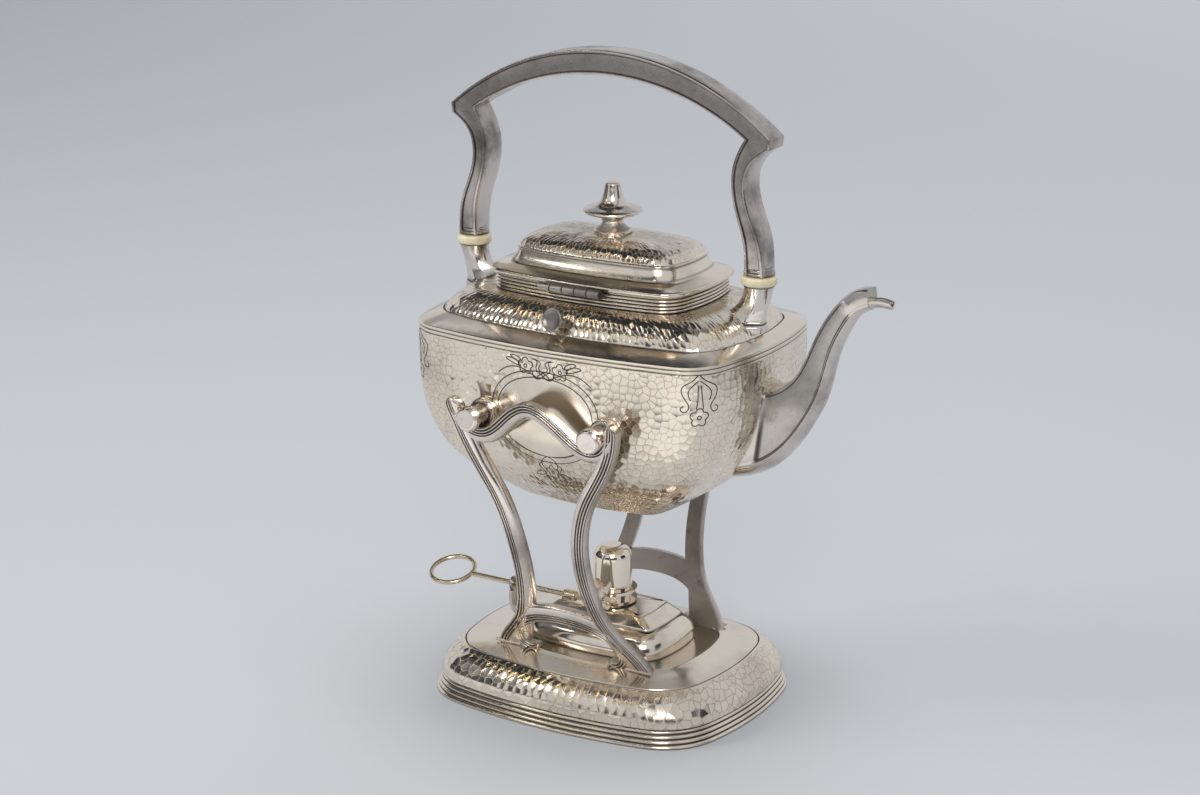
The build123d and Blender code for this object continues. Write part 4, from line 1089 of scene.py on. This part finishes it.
@dataclass
class Pivots:
    """Ringed bosses on the kettle's long walls, with their headed pins."""

    x: float = 34.2
    z: float = 159.1
    root_y: float = 58.5
    boss_y: float = 67.8
    head_y: float = 81.4
    boss_radius: float = 7.3
    neck_radius: float = 4.95
    head_radius: float = 6.2

    def boss(self) -> Patch:
        """Barrel with a bead at each end and a groove between."""
        r, a, b = self.boss_radius, self.root_y, self.boss_y
        profile = rounded([(AXIS, a), (r, a), (r, a + 2.4), (r - 0.7, a + 2.9), (r - 0.5, a + 4.4), (r, b - 3.6),
                           (r, b - 2.6), (r - 0.6, b - 2.3), (r - 0.1, b - 1.9), (r - 0.1, b - 0.7), (r - 0.9, b),
                           (5.2, b), (5.1, b - 0.4), (AXIS, b - 0.4)], 0.3, 3)
        return lathe(profile, dirt=lambda radius, _: np.where(radius < r - 0.35, 0.55, 0.05))

    def pin(self) -> Patch:
        """Neck that lies in the cradle, with a bevelled and pitted head."""
        n, h, y = self.neck_radius, self.head_radius, self.head_y
        profile = rounded([(AXIS, self.boss_y - 3.9), (n, self.boss_y - 3.9), (n, y - 4.6), (h - 0.3, y - 4.6),
                           (h, y - 4.3), (h, y - 1.1), (h - 0.5, y - 0.7), (h - 0.9, y - 0.1), (h - 1.6, y),
                           (AXIS, y - 0.15)], 0.25, 3)
        return lathe(profile, dirt=lambda _, height: np.where(height < y - 4.5, 0.45, 0.08))

    def dress(self) -> None:
        """Builds the four bosses and pins."""
        for place, x in (("spout", self.x), ("rear", -self.x)):
            for word, side in (("front", -1), ("back", 1)):
                piece(f"boss_{place}_{word}", along_y(self.boss(), x, self.z, side), POLISHED, "kettle",
                      f"pivot_boss_{place}_{word}")
                body = "pivot_pins" if place == "spout" else "kettle"
                piece(f"pin_{place}_{word}", along_y(self.pin(), x, self.z, side), CAST, body,
                      f"pivot_pin_{place}_{word}")


@dataclass
class Handle:
    """Bail handle: segmental arch, pointed corners and cyma legs, with a sunk panel on both faces."""

    top_z: float = 331.0
    depth: float = 12.4
    tip: tuple = (90.5, 296.8)
    crook: tuple = (76.2, 295.8)
    foot: tuple = (82.0, 229.8)
    outer_leg: tuple = ((90.0, 292.0), (80.0, 283.6), (77.4, 272.0), (80.6, 259.0), (85.4, 246.0), (87.2, 229.8))
    inner_leg: tuple = ((76.2, 295.8), (71.4, 286.0), (69.9, 272.0), (72.6, 259.0), (76.2, 246.0), (76.8, 229.8))
    half_thick: tuple = ((6.5, 229.8), (8.3, 272.0), (7.3, 296.8), (7.3, 343.4))
    border: tuple = ((0.0, 0.0, 0.0), (0.02, 0.5, 0.0), (0.05, 1.0, -1.0), (0.4, 1.0, -0.2), (0.9, 1.0, 0.0),
                     (1.5, 1.0, -0.05), (1.75, 1.0, -0.8), (2.5, 1.0, -0.9))
    grime_and_shade: tuple = (0.15, 0.1, 0.0, 0.0, 0.0, 0.25, 1.0, 0.3)
    stations: tuple = ((82.0, 224.0, 7.5, 7.5, 2.0), (81.7, 221.8, 7.1, 7.1, 2.4), (80.7, 218.0, 7.2, 6.5, 4.5),
                       (78.2, 212.8, 8.4, 6.1, 6.0), (75.0, 208.6, 10.9, 6.6, 6.0), (73.0, 206.2, 12.6, 7.2, 5.5),
                       (72.6, 205.6, 13.5, 7.9, 5.0), (72.4, 204.8, 13.4, 7.8, 5.0), (72.0, 203.8, 14.4, 8.6, 4.5),
                       (71.2, 201.0, 14.6, 8.8, 4.0))

    def edges(self) -> tuple[Array, Array]:
        """Outer and inner edge of the handle, from its rear foot over the arch to its spout-side foot.

        Each arch is a circle through its crown and its end: the radius is half the sum of the squared half span and
        the squared rise, over the rise.
        """
        def arc(crown: float, end: tuple) -> Array:
            rise = crown - end[1]
            radius = (end[0] ** 2 + rise ** 2) / (2 * rise)
            x = np.linspace(0, end[0], 60)
            return np.stack([x, crown - radius + np.sqrt(radius ** 2 - x ** 2)], axis=1)
        outer = np.vstack([arc(self.top_z, self.tip), spline(self.outer_leg, 69)])
        inner = np.vstack([arc(self.top_z - self.depth, self.crook),
                           spline(self.inner_leg, 70, start=(-0.6, -1), end=(0, -1))[1:]])
        return tuple(np.vstack([(half * (-1, 1))[:0:-1], half]) for half in (outer, inner))

    def bail(self) -> Patch:
        """The handle itself: an upright section between its two edges, thickest at the waists of its legs."""
        outer, inner = self.edges()
        width = np.linalg.norm(inner - outer, axis=1)[:, None]
        profile = spline([(z, half) for half, z in self.half_thick], 200)
        thick = np.interp((outer + inner)[:, 1] / 2, profile[:, 0], profile[:, 1])[:, None]
        out, share, drop = np.array(self.border).T
        d = np.concatenate([np.tile(out, (len(outer), 1)), width - out[::-1]], axis=1)
        y = thick * share + drop
        y = np.concatenate([y, y[:, ::-1]], axis=1)
        panel = np.abs(d / width - 0.5) < 0.42
        arch = smoothstep(outer[:, 1:], 285.0, 300.0) * 0.4 + 0.12
        dirt = np.maximum([*self.grime_and_shade, *self.grime_and_shade[::-1]], panel * (np.abs(y) > 1.0) * arch)
        return upright(outer, inner, d, y, dirt)

    def ferrule(self, side: int) -> Patch:
        """Dark beads at the foot of a leg, above the bone ring."""
        z = self.foot[1]
        profile = rounded([(AXIS, z - 0.1), (7.3, z - 0.1), (7.8, z + 0.8), (7.3, z + 1.6), (6.5, z + 1.9),
                           (6.9, z + 2.8), (6.2, z + 3.4), (AXIS, z + 3.4)], 0.4, 3)
        return raised(lathe(profile, 48, dirt=np.linspace(0.6, 0.3, len(profile))), side * self.foot[0], 0)

    def ring(self, side: int) -> Patch:
        """Bone insulator: a fat ring, darker at its edges."""
        profile = rounded([(AXIS, 224.15), (7.2, 224.15), (8.5, 224.8), (8.85, 226.9), (8.5, 229.0), (7.2, 229.65),
                           (AXIS, 229.65)], 1.2, 5)
        patch = lathe(profile, dirt=lambda _, z: 0.7 * smoothstep(np.abs(z - 226.9), 1.6, 2.7))
        return raised(patch, side * self.foot[0], 0)

    def socket(self, side: int) -> Patch:
        """Eight-sided socket that sweeps down and inwards from the bone ring to a flange on the shoulder."""
        rows = monotone(self.stations[::-1], 52)
        a = np.linspace(0, TAU, 64, endpoint=False)[None, :]
        off = np.mod(a + TAU / 16, TAU / 8) - TAU / 16
        blend = np.clip((rows[:, 4:5] - 2) / 4, 0, 1) * 0.95
        reach = (1 - blend) + blend * math.cos(TAU / 16) / np.cos(off)
        x = rows[:, :1] + rows[:, 2:3] * np.cos(a) * reach
        y = rows[:, 3:4] * np.sin(a) * reach
        low = rows[:, 1:2]
        points = np.stack([x, y, np.broadcast_to(low, x.shape)], axis=-1)
        dirt = (0.3 * smoothstep(low, 219, 224) + 0.9 * (1 - smoothstep(np.abs(low - 205.2), 0.3, 1.0))
                + 0.2 * (1 - smoothstep(np.abs(off), 0.0, 0.10)) * blend)
        patch = grid(points, ends=(True, True), dirt=np.clip(dirt, 0, 1))
        return patch if side > 0 else patch.moved(lambda p: p * (-1, 1, 1)).flipped()

    def dress(self) -> None:
        """Builds and dresses the handle and its fittings."""
        bail = self.bail() + self.ferrule(1) + self.ferrule(-1)
        piece("bail_handle", bail, DARK_CAST, "kettle", "handle", "handle_stud_spout", "handle_stud_rear")
        for word, side in (("spout", 1), ("rear", -1)):
            piece(f"bone_ring_{word}", self.ring(side), BONE, "kettle", f"insulator_{word}")
            piece(f"handle_socket_{word}_casting", self.socket(side), SOCKET, "kettle", f"handle_socket_{word}")


@dataclass
class Spout:
    """Swan-neck spout with sunk side panels, a hooded mouth and an open lip."""

    upper: tuple = ((80.0, 171.0), (90.5, 175.0), (99.0, 178.4), (105.4, 184.0), (109.6, 191.6), (115.7, 206.6),
                    (123.6, 220.0), (130.0, 226.9), (136.6, 230.6), (141.5, 231.3))
    lower: tuple = ((66.0, 125.0), (82.0, 128.6), (98.0, 139.0), (110.5, 155.0), (119.6, 172.6), (125.6, 195.0),
                    (132.4, 210.4), (135.6, 215.6), (138.8, 218.7), (142.6, 220.6))
    half: tuple = (12.6, 12.2, 11.0, 9.4, 8.0, 6.8, 6.0, 5.7, 5.5, 5.3)
    near: tuple = ((0.0, 0.0), (0.25, 0.40), (0.9, 0.74), (1.5, 0.88), (1.9, 0.93))
    far: tuple = ((0.3, 0.88), (0.55, 0.72), (0.8, 0.46), (0.95, 0.2), (1.0, 0.0))
    lip_path: tuple = ((136.0, 223.8), (142.0, 225.4), (147.5, 226.0), (152.5, 225.2))

    def tube(self) -> Patch:
        """Main tube: an upright section between the upper and the lower edge."""
        rows = spline(np.column_stack([self.upper, self.lower, self.half]), 110)
        top, low, half = rows[:, :2], rows[:, 2:4], rows[:, 4:5]
        width = np.linalg.norm(low - top, axis=1)[:, None]
        s = np.linspace(0, 1, len(rows))[:, None]
        sink = smoothstep(s, 0.14, 0.16) * (1 - smoothstep(s, 0.86, 0.9))
        border = smoothstep(s, 0.14, 0.15) * (1 - smoothstep(s, 0.16, 0.175))
        unit = width / width.max()
        inset, belly = 1.3 + 1.9 * unit, width - 1.8 - 7.0 * unit
        columns = [(a * (0.45 + 0.55 * unit), half * b, 0.0) for a, b in self.near]
        columns += [(inset, half * 0.95, 0.2 * sink), (inset + 0.35, half * 0.95 - 0.65 * sink, sink),
                    (inset + 0.9, half * 0.97 - 0.75 * sink, 0.45 * sink),
                    (width * 0.5, half - 0.75 * sink, np.maximum(0.4 * sink, border)),
                    (belly - 1.3, half * 0.97 - 0.75 * sink, np.maximum(0.45 * sink, border)),
                    (belly - 0.7, half * 0.96 - 0.7 * sink, sink), (belly - 0.2, half * 0.97, 0.1 * sink),
                    (belly + 0.35, half * 0.96 - 0.5 * sink, 0.9 * sink), (belly + 0.7, half * 0.95, 0.1 * sink)]
        columns += [(belly + f * (width - belly), half * b, 0.0) for f, b in self.far]
        return upright(top, low, *(np.hstack([np.broadcast_to(v, width.shape) for v in block])
                                   for block in zip(*columns)))

    def lip(self) -> Patch:
        """Open trough: a half pipe with a thick rolled edge that narrows to the tip."""
        path = spline(self.lip_path, 24)
        s = np.linspace(0, 1, 24)[:, None]
        half = 4.9 - 1.9 * s ** 1.6
        drop = 5.0 - 1.6 * s
        a = np.linspace(0, math.pi, 15)
        outer = np.stack([half * np.cos(a), -drop * np.sin(a)], axis=-1)
        inner = np.stack([(1.3 - half) * np.cos(a), 0.1 - (drop - 1.5) * np.sin(a)], axis=-1)
        section = np.concatenate([outer, inner], axis=1)
        flat = np.stack([np.broadcast_to(path[:, :1], section.shape[:2]), section[..., 0],
                         path[:, 1:] + section[..., 1]], axis=-1)
        dirt = np.repeat([0.0, 0.6], 15)
        return grid(flat, ends=(True, True), dirt=np.tile(dirt, (24, 1))).flipped()

    def dress(self) -> None:
        """Builds and dresses the spout."""
        piece("swan_spout", self.tube() + self.lip(), SPOUT, "kettle", "spout")


# The lamp

@dataclass
class Lamp:
    """Spirit lamp: font with a swelling rim and a chamfered step, burner collar, wick tube and wick."""

    edge: tuple = (40.5, 28.5)
    bow: float = 4.0
    corner: float = 13.0

    def cover(self) -> Patch:
        """Cover: swelling polished border, then a low pyramid with cut corners."""
        swell = monotone([(40.4, 28.4, 27.7), (40.5, 28.5, 30.0), (40.0, 27.6, 34.0), (38.2, 25.2, 37.6),
                          (35.4, 21.6, 40.0), (33.6, 19.3, 40.6)], 20)
        slope = rounded([(33.1, 18.8, 40.5), (32.6, 18.3, 41.6), (26.4, 14.9, 46.0), (25.0, 14.0, 46.4),
                         (9.0, 9.0, 46.5)], 0.5, 3)
        rows = np.vstack([swell, [(33.4, 19.1, 40.3), (33.1, 18.8, 40.5)], slope[1:]])
        scale, n = rows[:, 0] / self.edge[0], len(swell)
        upper = np.arange(len(rows)) >= n
        bow, corner = (scale * np.where(upper, a, b) for a, b in ((1.6, self.bow), (5.0, self.corner)))
        bow[-1], corner[-1] = 4.0, 4.9
        dirt = stripes(len(rows), (0, 1, 0.8), (n - 1, n + 3, (0.6, 1.0, 0.8, 0.2)), (-1, None, 0.6))
        return grid(cushions(rows, bow, corner), ends=(True, True), dirt=dirt)

    def pan(self) -> Patch:
        """Pan under the cover, in the base's well."""
        rows = rounded([(34.0, 22.0, 13.0), (35.0, 23.0, 13.2), (35.0, 23.0, 27.6)], 1.0, 4)
        return grid(cushions(rows, self.bow, self.corner), ends=(True, True), dirt=np.full(len(rows), 0.5))

    def dress(self) -> None:
        """Builds and dresses the lamp."""
        piece("lamp_font_cover", self.cover(), POLISHED, "lamp", "lamp_cover")
        piece("lamp_font_pan", self.pan(), POLISHED, "lamp", "lamp_pan")
        tube = lathe(rounded([(4.0, 44.0), (5.0, 44.0), (5.0, 62.5), (4.0, 62.5)], 0.2, 2), 40, dirt=0.5)
        piece("burner_wick_tube", tube, GILT, "lamp", "wick_tube")
        wick = lathe(rounded([(AXIS, 30.0), (3.9, 30.0), (3.9, 65.2), (AXIS, 65.5)], 0.6, 3), 36)
        piece("cotton_wick", wick, COTTON, "lamp", "wick")
        repaint("burner_collar", POLISHED)
        repaint("rod_guide", DARK_CAST)


@dataclass
class Snuffer:
    """Domed cap on a lug, turned by a rod with a finger ring."""

    radius: float = 10.2
    foot_z: float = 55.3
    top_z: float = 76.6
    dome: float = 6.4
    rod_y: float = -15.4
    rod_z: float = 50.6
    rod_end: float = -76.5
    ring_radius: float = 11.6
    ring_half: float = 1.2
    rod_radius: float = 1.35

    def cap(self) -> Patch:
        """Straight thimble with a round dome and a slightly hollow top, open below."""
        r, top, turn = self.radius, self.top_z, self.dome
        a = np.linspace(0, math.pi / 2, 14)
        shoulder = np.stack([r - 0.3 - turn + turn * np.cos(a), top - turn + turn * np.sin(a)], axis=1)
        edge = [(r - 0.3, self.foot_z), (r, self.foot_z + 0.4), (r, self.foot_z + 1.2)]
        outer = np.vstack([edge, shoulder, [(1.5, top - 0.08), (AXIS, top - 0.15)]])
        inner = np.maximum(outer[::-1] - 0.9, (AXIS, 0))
        inner[-3:] = [(r - 0.9, z) for _, z in edge[::-1]]
        return lathe(np.vstack([outer, inner]), 72, closed=True, dirt=np.repeat([0.0, 0.8], len(outer)))

    def rod(self) -> Patch:
        """Rod, its ferrule and its finger ring."""
        r = self.rod_radius
        profile = rounded([(AXIS, self.rod_end), (r, self.rod_end), (r, -19.5), (2.6, -19.2), (2.8, -18.2),
                           (2.8, -13.0), (2.4, -12.2), (r, -12.0), (r, 7.9), (AXIS, 8.0)], 0.3, 3)
        rod = along_x(lathe(profile, 24, dirt=lambda _, x: np.where(x > -20, 0.35, 0.0)), self.rod_y, self.rod_z)
        a = np.linspace(0, TAU, 64, endpoint=False)
        tilt = math.atan(0.3)
        centre = np.array([self.rod_end - self.ring_radius, self.rod_y, self.rod_z])
        path = centre + self.ring_radius * np.stack([np.cos(a), np.sin(a) * math.cos(tilt),
                                                     np.sin(a) * math.sin(tilt)], axis=1)
        return rod + sweep(path, (0, -math.sin(tilt), math.cos(tilt)), ring_section(self.ring_half, 14), closed=True)

    def dress(self) -> None:
        """Builds and dresses the snuffer."""
        piece("snuffer_thimble", self.cap(), POLISHED, "snuffer", "snuffer_cap")
        piece("snuffer_ring_rod", self.rod(), GILT, "snuffer", "snuffer_rod")
        repaint("snuffer_lug", CAST)


# The studio

@dataclass
class Studio:
    """Pale floor, soft lamps, dark and bright cards that the metal mirrors, and the camera."""

    azimuth: float = math.radians(31.3)
    elevation: float = math.radians(17.1)
    distance: float = 1408.4
    target: tuple = (-7.4, 0.0, 153.5)
    lens: float = 84.0
    sensor: float = 36.0
    pale: tuple = (0.60, 0.615, 0.645)
    shade: tuple = (0.62, 0.64, 0.68)
    floor: tuple = (0.40, 0.41, 0.425)
    black: tuple = (0.02, 0.02, 0.022)
    dark_cards: tuple = (("low_front", (0.5, -1.3, 0.35), (0.9, 0.45, 0), (0, 0, 0.22)),
                         ("left", (-1.2, -0.6, 0.5), (0.35, -0.6, 0), (0, 0, 0.45)),
                         ("right", (1.5, 0.3, 0.45), (0.1, 0.45, 0), (0, 0, 0.35)),
                         ("above", (-0.75, -0.15, 1.15), (0.95, 0, 0), (0, 0.9, 0)),
                         ("floor", (-0.55, -1.05, 0.05), (0.3, 0.12, 0), (0, 0, 0.035)))

    def camera(self) -> None:
        """Sets the camera on the line from the target at the photograph's angles."""
        data = bpy.data.cameras.new("camera")
        data.lens, data.sensor_width, data.clip_end = self.lens, self.sensor, 50.0
        back = Vector((math.sin(self.azimuth) * math.cos(self.elevation),
                       -math.cos(self.azimuth) * math.cos(self.elevation), math.sin(self.elevation)))
        place = (Vector(self.target) + back * self.distance) * MM
        bpy.context.scene.camera = put("camera", data, place, back)

    def lamp(self, name: str, place: tuple, size: tuple, power: float, aim: tuple = (0, 0, 0.15),
             tint: tuple = (1.0, 1.0, 1.0), mirrored: bool = True) -> None:
        """A soft rectangular lamp that faces the object; metal shows it only if it is mirrored."""
        data = bpy.data.lights.new(name, "AREA")
        data.color = tint
        data.shape, data.size, data.size_y, data.energy = "RECTANGLE", size[0], size[1], power
        put(name, data, place, Vector(place) - Vector(aim)).visible_glossy = mirrored

    def world(self) -> None:
        """Pale world for the camera and mirrored rays, and a lower light for the rest."""
        graph = Graph(bpy.data.worlds.new("studio"))
        seen = graph.add("ShaderNodeLightPath", out="Is Camera Ray")
        for ray in ("Is Glossy Ray", "Is Transmission Ray"):
            seen = seen.largest(graph.add("ShaderNodeLightPath", out=ray))
        light, shown = (graph.add("ShaderNodeBackground", {}, {"Color": (*colour, 1.0), "Strength": strength})
                        for colour, strength in ((self.shade, 0.75), (self.pale, 1.0)))
        blend = graph.add("ShaderNodeMixShader", {}, {0: seen, 1: light, 2: shown})
        graph.add("ShaderNodeOutputWorld", {}, {"Surface": blend})
        bpy.context.scene.world = graph.owner

    def plane(self, name: str, centre: tuple, across: tuple, up: tuple, colour: tuple, seen: bool = False) -> None:
        """Flat rectangle of the stage, given by its centre and two half edges."""
        c, a, b = (np.array(v, float) for v in (centre, across, up))
        mesh = bpy.data.meshes.new(name)
        mesh.from_pydata([tuple(p) for p in (c - a - b, c + a - b, c + a + b, c - a + b)], [], [(0, 1, 2, 3)])
        mesh.materials.append(finish(Tone(name, colour)))
        made = put(name, mesh)
        made.visible_camera = seen
        if not seen:
            made.visible_shadow = made.visible_diffuse = False

    def build(self) -> None:
        """Builds the stage."""
        self.camera()
        self.world()
        self.plane("floor", (0, 0, 0), (6, 0, 0), (0, 6, 0), self.floor, True)
        for name, *shape in self.dark_cards:
            self.plane(f"card_{name}", *shape, self.black)
        self.plane("card_behind", (-0.75, 1.15, 1.15), (0.95, 0, 0), (0, 0.25, 0), (0.7, 0.7, 0.7))
        self.plane("card_bright", (0.05, -0.62, 0.004), (0.3, 0, 0), (0, 0.4, 0), (0.6, 0.6, 0.6))
        self.lamp("overhead", (0.1, 0.1, 1.9), (1.6, 1.2), 25.0, mirrored=False)
        self.lamp("far_wash", (-0.3, 3.0, 2.0), (3.0, 1.6), 47.0, aim=(-0.3, 3.1, 0), mirrored=False)
        self.lamp("warm_strip", (-0.60, -0.45, 1.05), (0.7, 0.02), 0.28, tint=(1.0, 0.80, 0.45))
        self.lamp("cool_strip", (-0.15, -0.55, 1.08), (0.5, 0.02), 0.30)
        self.lamp("left_window", (-1.6, -1.2, 1.2), (1.0, 1.2), 20.0)
        self.lamp("front_fill", (0.9, -1.7, 1.3), (0.9, 0.9), 15.0)


def main() -> None:
    """Builds every sub-assembly in order and reports each piece."""
    logging.basicConfig(level=logging.INFO, format="%(name)s %(message)s")
    bpy.context.scene.view_settings.view_transform = "Standard"
    Studio().build()
    Base().dress()
    for side in (-1, 1):
        SideFrame(side=side).dress()
    for group in (KettleBody(), Engraving(), Lid(), LidHinge(), Pivots(), Handle(), Spout(), Lamp(), Snuffer()):
        group.dress()


if __name__ == "__main__":
    main()
